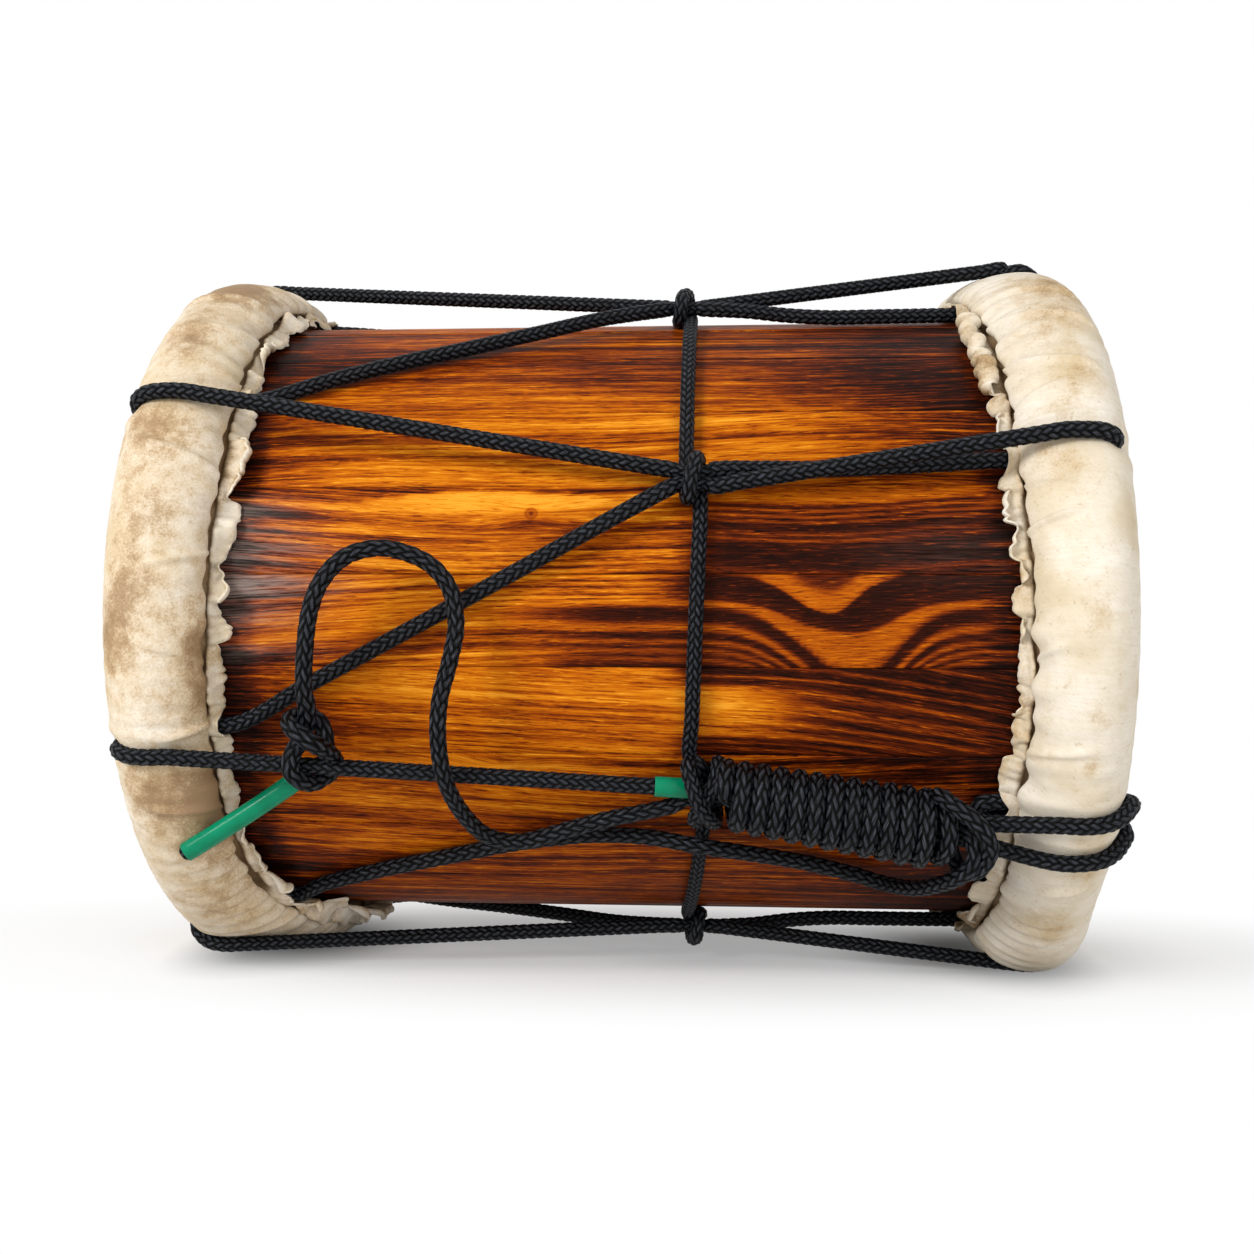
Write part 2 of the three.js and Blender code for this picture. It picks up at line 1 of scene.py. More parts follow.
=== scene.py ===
import math

import bpy
import numpy as np
from mathutils import Matrix, Vector


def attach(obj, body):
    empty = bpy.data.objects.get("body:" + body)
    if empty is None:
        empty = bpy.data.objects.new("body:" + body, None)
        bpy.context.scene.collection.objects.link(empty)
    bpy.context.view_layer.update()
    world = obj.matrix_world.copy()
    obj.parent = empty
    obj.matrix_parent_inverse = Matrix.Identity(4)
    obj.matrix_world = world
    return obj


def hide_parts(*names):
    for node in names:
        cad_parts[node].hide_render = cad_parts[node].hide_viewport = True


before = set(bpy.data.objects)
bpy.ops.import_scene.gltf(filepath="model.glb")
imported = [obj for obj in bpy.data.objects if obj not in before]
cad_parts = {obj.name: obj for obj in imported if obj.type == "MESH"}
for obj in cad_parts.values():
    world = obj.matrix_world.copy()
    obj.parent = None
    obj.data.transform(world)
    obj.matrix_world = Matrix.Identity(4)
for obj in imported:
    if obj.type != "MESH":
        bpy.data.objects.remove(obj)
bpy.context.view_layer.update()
scene = bpy.context.scene
scene.view_settings.view_transform = "Standard"
print("frame loaded:", len(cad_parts), "nodes")

# The drum's axis runs along X; angles go round it, 0 at the front and 90 at the top
drum = {
    "shellRadius": .175,
    "staveLength": .5,
    "staveThickness": .013,
    "staveCount": 24,
    "firstStaveAngle": -2.3,
    "axisHeight": .201,
    "seatGap": .0003,
    "rimHeight": .027,
    "rimHalfWidth": .0242,
    "rimCentreX": .2277,
    "headOuterX": .2519,
    "hideFold": .0016,
}
seatGap = drum["seatGap"]


def polar(x, radius, angle):  # single points or whole grids
    turn = np.radians(angle)
    return np.stack([x, -radius * np.cos(turn), drum["axisHeight"] + radius * np.sin(turn)], -1)


def around(length, radius):  # degrees round the drum
    return math.degrees(length / radius)


def lerp(a, b, t):
    return a + (b - a) * t


def smoothstep(x, low, high):
    t = np.clip((x - low) / (high - low), 0, 1)
    return t * t * (3 - 2 * t)


def plateau(x, start, full, ease, end):  # up and down again
    return smoothstep(x, start, full) * (1 - smoothstep(x, ease, end))


def angleGap(angle, centre):  # the short way round, in degrees
    return (angle - centre + 180) % 360 - 180


def rimPoint(turn, offset=0.0):  # 0 is the head's side, 180 the hem's
    spin = math.radians(turn)
    x = drum["rimCentreX"] + (drum["rimHalfWidth"] + offset) * math.cos(spin)
    return x, drum["shellRadius"] + (drum["rimHeight"] + offset) * math.sin(spin)


def makeMesh(name, points, quads, triangles=None):
    triangles = np.zeros((0, 3), int) if triangles is None else np.asarray(triangles, int)
    quads = np.asarray(quads, int).reshape(-1, 4)
    corners = np.concatenate([quads.ravel(), triangles.ravel()]).astype(np.int32)
    starts = np.concatenate([4 * np.arange(len(quads)), 4 * len(quads) + 3 * np.arange(len(triangles))])
    mesh = bpy.data.meshes.new(name)
    mesh.vertices.add(len(points))
    mesh.vertices.foreach_set("co", np.asarray(points, np.float32).ravel())
    mesh.loops.add(len(corners))
    mesh.loops.foreach_set("vertex_index", corners)
    mesh.polygons.add(len(starts))
    mesh.polygons.foreach_set("loop_start", starts.astype(np.int32))
    mesh.polygons.foreach_set("use_smooth", np.ones(len(starts), bool))
    mesh.update(calc_edges=True)
    mesh.validate()
    piece = bpy.data.objects.new(name, mesh)
    scene.collection.objects.link(piece)
    return piece


def keep(piece, name, values):  # a value or vector on each point, for the finish to read
    values = np.asarray(values, np.float32)
    kind = "FLOAT_VECTOR" if values.ndim == 2 else "FLOAT"
    layer = piece.data.attributes.new(name, kind, "POINT")
    layer.data.foreach_set("vector" if values.ndim == 2 else "value", values.ravel())


def settle(piece, finish, slot, body, *nodes):  # nodes: what it stands for in the CAD model
    piece.data.materials.append(finish)
    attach(piece, body)
    if nodes:
        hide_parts(*nodes)


def gridQuads(rows, columns, looped=False):  # columns close round; looped joins the last row to the first
    row, column = np.meshgrid(np.arange(rows if looped else rows - 1), np.arange(columns), indexing="ij")
    here = row * columns + column
    beside = row * columns + (column + 1) % columns
    count = rows * columns
    return np.stack([here, beside, (beside + columns) % count, (here + columns) % count], -1).reshape(-1, 4)


def endCaps(rows, columns):  # triangles to a grid's first and last rows from the two points after it
    here = np.arange(columns)
    beside = (here + 1) % columns
    last = (rows - 1) * columns
    first = np.stack([np.full(columns, rows * columns), beside, here], -1)
    final = np.stack([np.full(columns, rows * columns + 1), last + here, last + beside], -1)
    return np.vstack([first, final])


def sideName(side, name):  # laps, lobes and the like are kept for each side
    return ("left" if side < 0 else "right") + name


def ripple(angle, low, high, seed):  # an uneven wave round the drum, about -1 to 1
    source = np.random.default_rng(seed)
    counts = np.arange(low, high + 1)
    size = source.uniform(.4, 1, len(counts))
    phase = source.uniform(0, 2 * math.pi, len(counts))
    waves = size * np.cos(np.multiply.outer(np.radians(angle), counts) + phase)
    return waves.sum(-1) / math.sqrt((size ** 2).sum()) / 1.6


def waves(angle, seed, table):  # how high, fewest and most to the turn, and which run of numbers
    return sum(height * ripple(angle, low, high, seed + run) for height, low, high, run in table)


def shaded(place, table):  # each amount comes in from one place to another
    return sum(amount * smoothstep(place, low, high) for amount, low, high in table)


# Camera
eye = {"place": (.0517, -.8347, .1776), "yaw": -.0659, "pitch": .0202, "roll": .0041, "lens": 38.914}


def makeCamera():
    yaw, pitch, roll = eye["yaw"], eye["pitch"], eye["roll"]
    ahead = Vector((math.sin(yaw) * math.cos(pitch), math.cos(yaw) * math.cos(pitch), math.sin(pitch)))
    level = Vector((math.cos(yaw), -math.sin(yaw), 0))
    rise = level.cross(ahead)
    right = math.cos(roll) * level + math.sin(roll) * rise
    up = math.cos(roll) * rise - math.sin(roll) * level
    camera = bpy.data.objects.new("camera", bpy.data.cameras.new("camera"))
    camera.data.sensor_width = 36
    camera.data.lens = eye["lens"]
    camera.data.clip_start = .02
    turned = Matrix((right, up, -ahead)).transposed()
    camera.matrix_world = Matrix.Translation(eye["place"]) @ turned.to_4x4()
    scene.collection.objects.link(camera)
    scene.camera = camera


makeCamera()
print("camera set")

# Lace and belt: a ring is a point of the cord's middle and its radius there
lace = {
    "radius": .004,
    "room": .0008,
    "bend": .0054,
    "bendTurns": (5, -40, -90),
    "legSteps": 6,
    "holeSetback": .002,
    "pinched": .003,
    "pinchRoom": 1.08,
    "drawn": .0035,  # its radius as it shows in a hitch
    "nestle": .0013,  # how far it sits down into the hide
    "hitchAngles": (69, 19.7, -30, -76, -118, -160, -206, -249),
    "leftWraps": (91, 31.8, -21.3, -67, -109, -151, -197, -236),
    "leftUnders": (92.5, 36.8, -19.2, -62, -104, -146, -192, -231),
    "rightWraps": (77.5, 24, -30.6, -72.5, -119, -161, -207, -249),
    "rightUnders": (70.5, 23.6, -32.1, -82, -120.5, -162.5, -208.5, -250.5),
    "secondWrap": -37.2,
    "secondUnder": -35.7,
    "bightReach": .006,
    "hemEndX": .1886,
    "wrapTurns": (90, 68, 48, 32),
    "wrapDips": (0, .08, .3, .75),
    # how far in over the rim's shoulder each run goes through the hide
    "leftTucks": (.007, .011, .010, .010, 0, 0, 0, 0),
    "rightTucks": (.020, .0125, 0, 0, 0, 0, 0, 0),
    "freeTuck": .008,  # a deeper tuck turns in sooner, by so many degrees a metre
    "earlyTurn": 2200,
    "twist": .7,  # so that no two runs show the same side
}
belt = {
    "radius": .0037,
    "pinched": .00325,
    "drawn": .0037,
    "x": .034,
    "lean": .0086,
    "leanAngle": -25,
    "twist": .9,
    "doubleWrap": (  # the third hitch, mm along the drum, round it and outwards
        (1, 14, -5), (3, 4, -6.7), (3.5, -5, -6.5), (2.5, -12.5, -2), (-.5, -12.5, 4.5), (-1, -6, 9),
        (3, 1, 9.5), (8, 11, 8.5), (10.6, 18, 4), (10, 17, -3.5), (8.4, 5, -6.7), (8.5, -6, -6.2),
        (9.2, -13, -1), (8.5, -11.5, 6.5), (5.5, -4, 12.5), (1, 4, 14), (-2.8, 13, 9.5),
        (-4.6, 18.5, 3.5), (-3.6, 16, -3.5), (-2.5, 3, -6.7),
    ),
}
laceRadius = lace["radius"]
underRadius = drum["shellRadius"] + lace["room"] + laceRadius
overOffset = laceRadius + seatGap
hitchTurn = (lace["pinched"] + belt["pinched"] + seatGap) * lace["pinchRoom"]
strandOffset = lace["pinched"] + seatGap / 2
openOffset = laceRadius + seatGap
hitchRadius = drum["shellRadius"] + 2 * seatGap + belt["pinched"] + hitchTurn
hitchPass = belt["pinched"] + seatGap
pinchReach = hitchPass + belt["pinched"]
openReach = pinchReach + lace["pinched"]
hitchCount = len(lace["hitchAngles"])


def ring(point, radius=laceRadius):
    return np.append(point, radius)


def hitchX(angle):
    return belt["x"] + belt["lean"] * math.cos(math.radians(angle - belt["leanAngle"]))


def hitchPoint(index, along, across, out):
    angle = lace["hitchAngles"][index]
    return polar(hitchX(angle) + along, hitchRadius + out, angle + around(across, hitchRadius))


def hitchedEnd(index, side, upper):
    drawn = lace["drawn"]
    return [
        ring(hitchPoint(index, side * openReach, upper * openOffset, 0)),
        ring(hitchPoint(index, side * pinchReach, upper * strandOffset, 0), drawn),
        ring(hitchPoint(index, side * seatGap / 2, upper * strandOffset, 0), drawn),
    ]


def wrapRings(side, over, under, tuck=0.0):
    sunk = overOffset - lace["nestle"]
    topRadius = drum["shellRadius"] + drum["rimHeight"] + sunk - 2 * seatGap
    spots = [(drum["rimCentreX"] - drum["rimHalfWidth"] / 2, topRadius)]
    early = lace["earlyTurn"] * max(0, tuck - lace["freeTuck"])
    for turn, dip in zip(lace["wrapTurns"], lace["wrapDips"]):
        spots.append(rimPoint(turn + early, sunk - dip * tuck))
    bendX = drum["headOuterX"] - drum["hideFold"] - lace["holeSetback"] - tuck
    bendRadius = underRadius + lace["bend"]
    for turn in lace["bendTurns"]:
        spin = math.radians(turn)
        spots.append((bendX + lace["bend"] * math.cos(spin), bendRadius + lace["bend"] * math.sin(spin)))
    spots.append((lace["hemEndX"], underRadius))
    shift = smoothstep(np.arange(len(spots)), len(lace["wrapTurns"]), len(spots) - 1)
    return [ring(polar(side * x, r, lerp(over, under, shift[i]))) for i, (x, r) in enumerate(spots)]


def underLeg(fromX, fromAngle, index, side, upper):
    end = hitchedEnd(index, side, upper)
    hitchAngle = lace["hitchAngles"][index]
    hitchAngle += 360 * round((fromAngle - hitchAngle) / 360)
    target = hitchAngle + around(upper * openOffset, hitchRadius)
    rings = []
    for t in np.arange(1, lace["legSteps"]) / lace["legSteps"]:
        radius = lerp(underRadius, hitchRadius, smoothstep(t, .5, 1))
        rings.append(ring(polar(lerp(fromX, end[0][0], t), radius, lerp(fromAngle, target, t))))
    return rings + end


def tautRings(rings, near=.014):  # long stretches between held points stay straight
    kept = [rings[0]]
    for a, b in zip(rings, rings[1:]):
        span = np.linalg.norm(b[:3] - a[:3])
        if span > 4 * near:
            kept += [lerp(a, b, near / span), lerp(a, b, 1 - near / span)]
        kept.append(b)
    return kept


def smoothPath(rings, step):  # centripetal curve through the rings, cut to even steps
    points = np.array(rings)
    points = np.vstack([2 * points[0] - points[1], points, 2 * points[-1] - points[-2]])
    gaps = np.sqrt(np.linalg.norm(np.diff(points[:, :3], axis=0), axis=1)).clip(1e-4)
    found = []
    for i in range(1, len(points) - 2):
        a, b, c, d = points[i - 1:i + 3]
        g0, g1, g2 = gaps[i - 1:i + 2]
        start = ((b - a) / g0 - (c - a) / (g0 + g1) + (c - b) / g1) * g1
        end = ((c - b) / g1 - (d - b) / (g1 + g2) + (d - c) / g2) * g1
        count = max(3, math.ceil(np.linalg.norm((c - b)[:3]) / step * 2))
        t = np.linspace(0, 1, count, endpoint=False)[:, None]
        curve = 2 * b - 2 * c + start + end
        bow = -3 * b + 3 * c - 2 * start - end
        found.append(curve * t ** 3 + bow * t ** 2 + start * t + b)
    line = np.vstack(found + [points[-2:-1]])
    along = np.concatenate([[0], np.cumsum(np.linalg.norm(np.diff(line[:, :3], axis=0), axis=1))])
    even = np.linspace(0, along[-1], max(4, round(along[-1] / step)) + 1)
    return np.stack([np.interp(even, along, line[:, k]) for k in range(4)], -1), even


def carriedFrames(points):  # directions across the cord, carried along it without twist
    heading = np.gradient(points, axis=0)
    heading /= np.linalg.norm(heading, axis=1)[:, None]
    side = np.array([0, 0, 1.0]) if abs(heading[0][2]) < .9 else np.array([1.0, 0, 0])
    across = np.zeros_like(points)
    for i, ahead in enumerate(heading):
        side = side - ahead * (side @ ahead)
        side = side / np.linalg.norm(side)
        across[i] = side
    return across, np.cross(heading, across)


braid = {
    "strands": 8,
    "taut": .005,  # length of a stitch where the cord is pulled, and where it lies slack
    "slack": .0067,
    "sides": 44,
    "step": .00085,
    "core": .83,
    "relief": .22,
    "squareness": 2.5,  # of a strand's section
    "edge": .6,
    "dip": .6,  # how deep a strand goes under, and from where along its stitch
    "dipFrom": .45,
    # the cord's black, from the crevices between strands, darkened as painted shade, up to the strands' tops,
    # lightened as a painted highlight
    "blacks": ((0, "000000"), (.25, "020202"), (.6, "0c0d0f"), (.85, "24262b"), (1, "464a51")),
    "gloss": .08,
}


def braidRelief(turn, along, pitch):  # strands of both hands, each passing over two and under two
    count = braid["strands"] * turn / (2 * math.pi)
    a = count + along / pitch
    b = count - along / pitch
    phase = (np.floor(a) + np.floor(b)) % 4
    first = phase < 1.5
    across = np.where(first, a % 1, b % 1) - .5
    run = np.where(first, b % 1 + phase - 1, a % 1 + phase - 3) / 2
    plump = (1 - np.abs(2 * across) ** braid["squareness"]).clip(0) ** braid["edge"]
    return plump * (1 - braid["dip"] * smoothstep(np.abs(2 * run), braid["dipFrom"], 1))


def braidedCord(name, rings, body, *nodes, twist=0.0, pitch=braid["taut"]):
    path, along = smoothPath(rings, braid["step"])
    points, radius = path[:, :3], path[:, 3]
    across, beside = carriedFrames(points)
    sides = braid["sides"]
    turn = np.arange(sides) * 2 * math.pi / sides
    spin = turn[None, :] + twist + 0 * along[:, None]
    travel = along[:, None] + 0 * turn[None, :]
    reach = radius[:, None] * (braid["core"] + braid["relief"] * braidRelief(spin, travel, pitch))
    spokes = np.cos(turn)[None, :, None] * across[:, None] + np.sin(turn)[None, :, None] * beside[:, None]
    surface = (points[:, None] + reach[..., None] * spokes).reshape(-1, 3)
    count = len(points)
    ends = np.array([points[0], points[-1]])
    piece = makeMesh(name, np.vstack([surface, ends]), gridQuads(count, sides), endCaps(count, sides))
    lay = np.stack([np.cos(spin), np.sin(spin), travel / pitch], -1).reshape(-1, 3)
    keep(piece, "lay", np.vstack([lay, lay[:1], lay[-1:]]))
    settle(piece, blackBraid, "lace", body, *nodes)
    return piece, points


def srgb(code):
    parts = [int(code[i:i + 2], 16) / 255 for i in (0, 2, 4)]
    return tuple(c / 12.92 if c < .04045 else ((c + .055) / 1.055) ** 2.4 for c in parts) + (1.0,)


# Finishes: small helpers for their nodes
def startFinish(name):
    finish = bpy.data.materials.new(name)
    finish.use_nodes = True
    tree = finish.node_tree
    return finish, tree, tree.nodes["Principled BSDF"]


def feed(socket, value):
    if isinstance(value, bpy.types.NodeSocket):
        socket.id_data.links.new(value, socket)
    else:
        socket.default_value = value


def added(tree, kind, values, **settings):  # a node with its settings, then what goes into it
    made = tree.nodes.new("ShaderNode" + kind)
    for name, value in settings.items():
        setattr(made, name, value)
    for name, value in values.items():
        feed(made.inputs[name], value)
    return made.outputs


def calc(operation, first, second=0.0, clamp=False):
    known = first if isinstance(first, bpy.types.NodeSocket) else second
    return added(known.id_data, "Math", {0: first, 1: second}, operation=operation, use_clamp=clamp)[0]


def plus(first, second):
    return calc("ADD", first, second)


def minus(first, second):
    return calc("SUBTRACT", first, second)


def times(first, second):
    return calc("MULTIPLY", first, second)


def either(factor, first, second):  # a number between two others
    return plus(first, times(factor, minus(second, first)))


def swung(value, depth):  # a noise about zero
    return times(minus(value, .5), depth)


def stretched(vector, factors):
    return added(vector.id_data, "VectorMath", {0: vector, 1: factors}, operation="MULTIPLY")[0]


def farFrom(place, spot):
    return added(place.id_data, "VectorMath", {0: place, 1: spot}, operation="DISTANCE")["Value"]


def cloudy(vector, scale=1.0, detail=3.0, roughness=.5):
    values = {"Vector": vector, "Scale": scale, "Detail": detail, "Roughness": roughness}
    return added(vector.id_data, "TexNoise", values)["Fac"]


def ramp(factor, stops):  # colours, or plain levels of grey
    made = factor.id_data.nodes.new("ShaderNodeValToRGB")
    feed(made.inputs[0], factor)
    marks = made.color_ramp.elements
    while len(marks) < len(stops):
        marks.new(.5)
    for mark, (place, tint) in zip(marks, stops):
        mark.position = place
        mark.color = srgb(tint) if isinstance(tint, str) else (tint, tint, tint, 1)
    return made.outputs[0]


def between(factor, low, high):  # 0 below low, 1 above high
    values = {"Value": factor, "From Min": low, "From Max": high}
    return added(factor.id_data, "MapRange", values, interpolation_type="SMOOTHSTEP")["Result"]


def mixed(factor, first, second):
    values = {"Factor": factor, "A": first, "B": second}
    return added(factor.id_data, "Mix", values, data_type="RGBA")["Result"]


def stored(tree, name, output="Fac"):
    return added(tree, "Attribute", {}, attribute_name=name)[output]


def ownPlace(tree):
    return added(tree, "TexCoord", {})["Object"]


def coat(shader, colour, rough, gloss):
    feed(shader.inputs["Base Color"], colour)
    feed(shader.inputs["Roughness"], rough)
    shader.inputs["Specular IOR Level"].default_value = gloss


def bumped(shader, height, strength, distance):
    values = {"Height": height, "Strength": strength, "Distance": distance}
    feed(shader.inputs["Normal"], added(shader.id_data, "Bump", values)[0])


def braidFinish():
    finish, tree, shader = startFinish("blackBraid")
    lay = added(tree, "SeparateXYZ", {0: stored(tree, "lay", "Vector")})
    turn = calc("ARCTAN2", lay["Y"], lay["X"])
    count = times(turn, braid["strands"] / (2 * math.pi))
    a = plus(count, lay["Z"])
    b = minus(count, lay["Z"])
    wholeA, wholeB = calc("FLOOR", a), calc("FLOOR", b)
    partA, partB = minus(a, wholeA), minus(b, wholeB)
    phase = calc("FLOORED_MODULO", plus(wholeA, wholeB), 4.0)
    second = calc("GREATER_THAN", phase, 1.5)
    across = minus(either(second, partA, partB), .5)
    run = either(second, minus(partB, 1.0), minus(partA, 3.0))
    run = plus(run, phase)
    narrow = calc("POWER", calc("ABSOLUTE", times(across, 2.0)), braid["squareness"])
    plump = calc("POWER", calc("SUBTRACT", 1.0, narrow, clamp=True), braid["edge"])
    sunk = times(between(calc("ABSOLUTE", run), braid["dipFrom"], 1), braid["dip"])
    relief = times(plump, minus(1.0, sunk))
    strand = either(second, wholeA, plus(wholeB, 40.0))
    yarn = added(tree, "CombineXYZ", {0: times(across, 11.0), 1: times(run, .8), 2: times(strand, 3.7)})
    fibres = cloudy(yarn[0], 1, 3)
    # painted shade in the crevices and where a strand dips under, painted highlight on the strands' tops
    shade = times(between(relief, .1, 1), plus(fibres, .35))
    coat(shader, ramp(shade, braid["blacks"]), plus(.26, times(fibres, .25)), braid["gloss"])
    bumped(shader, plus(times(fibres, .5), relief), .8, .0006)
    return finish


blackBraid = braidFinish()

# The spare lace comes first: its lead and hank, its loop and knot
spare = {
    "hankTurns": 11,
    "hankPitch": .0088,
    "hankRadii": (.0133, .0156),
    "hankAngles": (-28.2, -33.3),
    "hankClear": .002,
    "fullRadius": .0043,  # the slack turns swell against each other
    "turnIn": ((2, 0, 0), (.9, .3, .1), (.1, 1.1, .4)),  # from the core into the first turn, in lace radii
    "startTurn": .36,
    "overrun": .9,
    "stepsPerTurn": 18,
    "leadLength": 1.823,
    "loopLength": .56,
    "knotX": -.1464,
    "rootSpot": (.0005, -.0085, -.018),  # where the sleeved end leaves the knot
    "tipSpot": (-.2146, .0026, -37.2),  # it points to here on the left rim: x, lift and angle
}
thirdHitch = 2
hankStartX = hitchX(lace["hitchAngles"][thirdHitch]) + pinchReach + laceRadius + spare["hankClear"]
hankEndX = hankStartX + spare["hankTurns"] * spare["hankPitch"]
hankAxis = [drum["shellRadius"] + 2 * seatGap + laceRadius + spare["hankRadii"][0]] * 2
hankAxis[1] += spare["hankRadii"][1] - spare["hankRadii"][0]
coreSpread = (2 * laceRadius + seatGap) / math.sqrt(3)
hankEnd = polar(hankEndX, hankAxis[1], spare["hankAngles"][1])


def wrapsOf(side):
    tables = [lace[sideName(side, name)] for name in ("Wraps", "Unders", "Tucks")]
    return [wrapRings(side, *spots) for spots in zip(*tables)]


leftWraps, rightWraps = wrapsOf(-1), wrapsOf(1)


def hankPoint(x, across, out):
    t = (x - hankStartX) / (hankEndX - hankStartX)
    axis = lerp(*hankAxis, t)
    return polar(x, axis + out, lerp(*spare["hankAngles"], t) + around(across, axis))


def nearHankEnd(spots):  # along the drum, up and to the front
    return [ring(hankEnd + np.array([along, -front, up])) for along, up, front in spots]


def shellRings(route, radius=laceRadius):  # x, height of the cord's middle above the shell, and angle
    return [ring(polar(x, drum["shellRadius"] + lift, angle), radius) for x, lift, angle in route]


leadRoute = (
    (-.165, .0045, -57.2), (-.147, .0045, -54), (-.117, .0045, -49.8), (-.0885, .0045, -46.6),
    (-.0608, .0045, -43.6), (-.034, .0045, -41.5), (-.008, .0052, -40.2), (.018, .009, -39.3),
    (.0436, .0126, -40), (.069, .0095, -42.7), (.0955, .006, -46.1), (.122, .0055, -49.6),
    (.14, .0075, -51.6),
)
leadEntry = (
    (.001, -.0345, -.028), (.010, -.0295, -.011), (.0175, -.0235, .003), (.0225, -.0165, .0105),
    (.0235, -.0095, .0115), (.0205, -.0035, .0075),
)
slackBight = (
    (.0072, -.0145, -.0035), (.009, -.013, .006), (.0105, -.0075, .012), (.011, 0, .014),
    (.0105, .007, .012), (.0106, .013, .0055), (.0116, .014, -.003), (.013, .0085, -.0115),
    (.014, -.002, -.0148), (.016, -.013, -.0115), (.0195, -.021, -.004), (.0245, -.0205, .005),
    (.0285, -.0145, .012), (.0295, -.007, .017), (.026, .0005, .0205), (.0195, .0075, .021),
    (.0125, .0125, .0185), (.0072, .0158, .0132), (.0055, .0158, .0055), (.0068, .0125, -.001),
)


def hankRings():
    inner, end = leftWraps[3][-2:]
    heading = (end - inner)[:3] / np.linalg.norm((end - inner)[:3])
    rings = [ring(end[:3] + heading * seatGap), ring(end[:3] + heading * 2 * laceRadius)]
    rings += shellRings(leadRoute) + nearHankEnd(leadEntry)
    rings += [ring(hankPoint(hankEndX + 3 * laceRadius, 0, coreSpread))]
    rings += [ring(hankPoint(hankEndX + laceRadius, 0, coreSpread))]
    for along, across, out in np.array(spare["turnIn"]) * laceRadius:
        rings.append(ring(hankPoint(hankStartX + along, across, coreSpread + out)))
    startTurn, perTurn = spare["startTurn"], spare["stepsPerTurn"]
    for i in range(round((spare["hankTurns"] + spare["overrun"] - startTurn) * perTurn) + 1):
        turns = startTurn + i / perTurn
        spin = 2 * math.pi * turns
        radius = lerp(*spare["hankRadii"], turns / spare["hankTurns"])
        x = hankStartX + spare["hankPitch"] * (turns - startTurn)
        place = hankPoint(x, -radius * math.cos(spin), radius * math.sin(spin))
        rings.append(ring(place, spare["fullRadius"]))
    return rings + nearHankEnd(slackBight)


knotCarrier = leftWraps[thirdHitch][0][:3]
knotHitch = hitchedEnd(thirdHitch, -1, 1)[0][:3]
knotCentre = lerp(knotCarrier, knotHitch, (spare["knotX"] - knotCarrier[0]) / (knotHitch[0] - knotCarrier[0]))
knotRise = knotCentre[2] - drum["axisHeight"]
knotRadius = math.hypot(knotCentre[1], knotRise)
knotAngle = math.degrees(math.atan2(knotRise, -knotCentre[1]))


def knotPoint(along, across, out):
    return polar(spare["knotX"] + along, knotRadius + out, knotAngle + around(across, knotRadius))


loopRoute = (
    (.0214, .012, -32.6), (-.006, .014, -34.4), (-.027, .015, -36.5), (-.0476, .0155, -38.5),
    (-.0625, .0175, -37), (-.0726, .022, -31.8), (-.079, .0288, -24.6), (-.0808, .0295, -18.4),
    (-.0796, .026, -13), (-.075, .022, -7.7), (-.0723, .02, -2.8), (-.0753, .02, 2.1),
    (-.085, .021, 5.6), (-.0993, .023, 7.4), (-.1109, .025, 7.7), (-.1247, .027, 6.4),
    (-.1349, .029, 3.2), (-.1402, .03, -.8), (-.1426, .031, -6.1), (-.1436, .0312, -11.4),
)
knotRoute = (  # round the lace, over its own standing part, and tucked
    (-.1434, .0292, -14.1), (-.1453, .0268, -16.8), (-.1492, .0270, -19.2), (-.1527, .0295, -20.9),
    (-.1531, .032, -22.7), (-.1503, .0308, -24.3), (-.1460, .0252, -25.8), (-.1408, .018, -25.8),
    (-.1362, .0165, -24.5), (-.1352, .021, -22.3), (-.1365, .029, -20.1), (-.1404, .036, -18.2),
    (-.1462, .036, -17), (-.1512, .0325, -16.2), (-.1522, .0265, -15.8), (-.1490, .0215, -16),
    (-.1435, .0195, -16.4), (-.1392, .0215, -17.4), (-.1375, .0235, -19), (-.1387, .0205, -20.9),
    (-.1398, .0155, -22.7), (-.1405, .011, -24.3), (-.1412, .007, -25.4),
)
sleeveRoot = knotPoint(*spare["rootSpot"])
tipX, tipLift, tipAngle = spare["tipSpot"]
sleeveTip = polar(tipX, drum["shellRadius"] + drum["rimHeight"] + tipLift, tipAngle)


def loopRings():
    rings = hitchedEnd(thirdHitch, -1, -1)[::-1][:2]
    rings.append(ring(hitchPoint(thirdHitch, -openReach - .002, -openOffset - .002, 0)))
    return rings + shellRings(loopRoute) + shellRings(knotRoute, spare["fullRadius"])


slack = braid["slack"]
hankCord, hankLine = braidedCord("hankCord", hankRings(), "drum", "hank", "hank_lead", pitch=slack)
loopCord, loopLine = braidedCord("loopCord", loopRings(), "drum", "loop_cord", "loop_knot", pitch=slack)
for made, line in ((hankCord, hankLine), (loopCord, loopLine)):
    print(made.name, "length", round(float(np.linalg.norm(np.diff(line, axis=0), axis=1).sum()), 3))

# Sleeves of green tubing: one on the lace's end, one at the third hitch
sleeve = {
    "radius": .005,
    "bore": .0043,
    "sides": 48,
    "endLength": .08,
    "tailOut": .0016,  # how far the lace shows out of the long one
    "endCut": .0008,  # the long one's end is cut a little on the slant
    "sag": .0007,
    "shortLength": .0175,
    "shortReach": .0075,  # how far the short one runs in under the hitch
    "ease": .0004,
    "greens": ((.3, "006e4a"), (.5, "007a56"), (.7, "018660")),
    "scuffed": "6b5d3a",
    "gloss": .16,
}


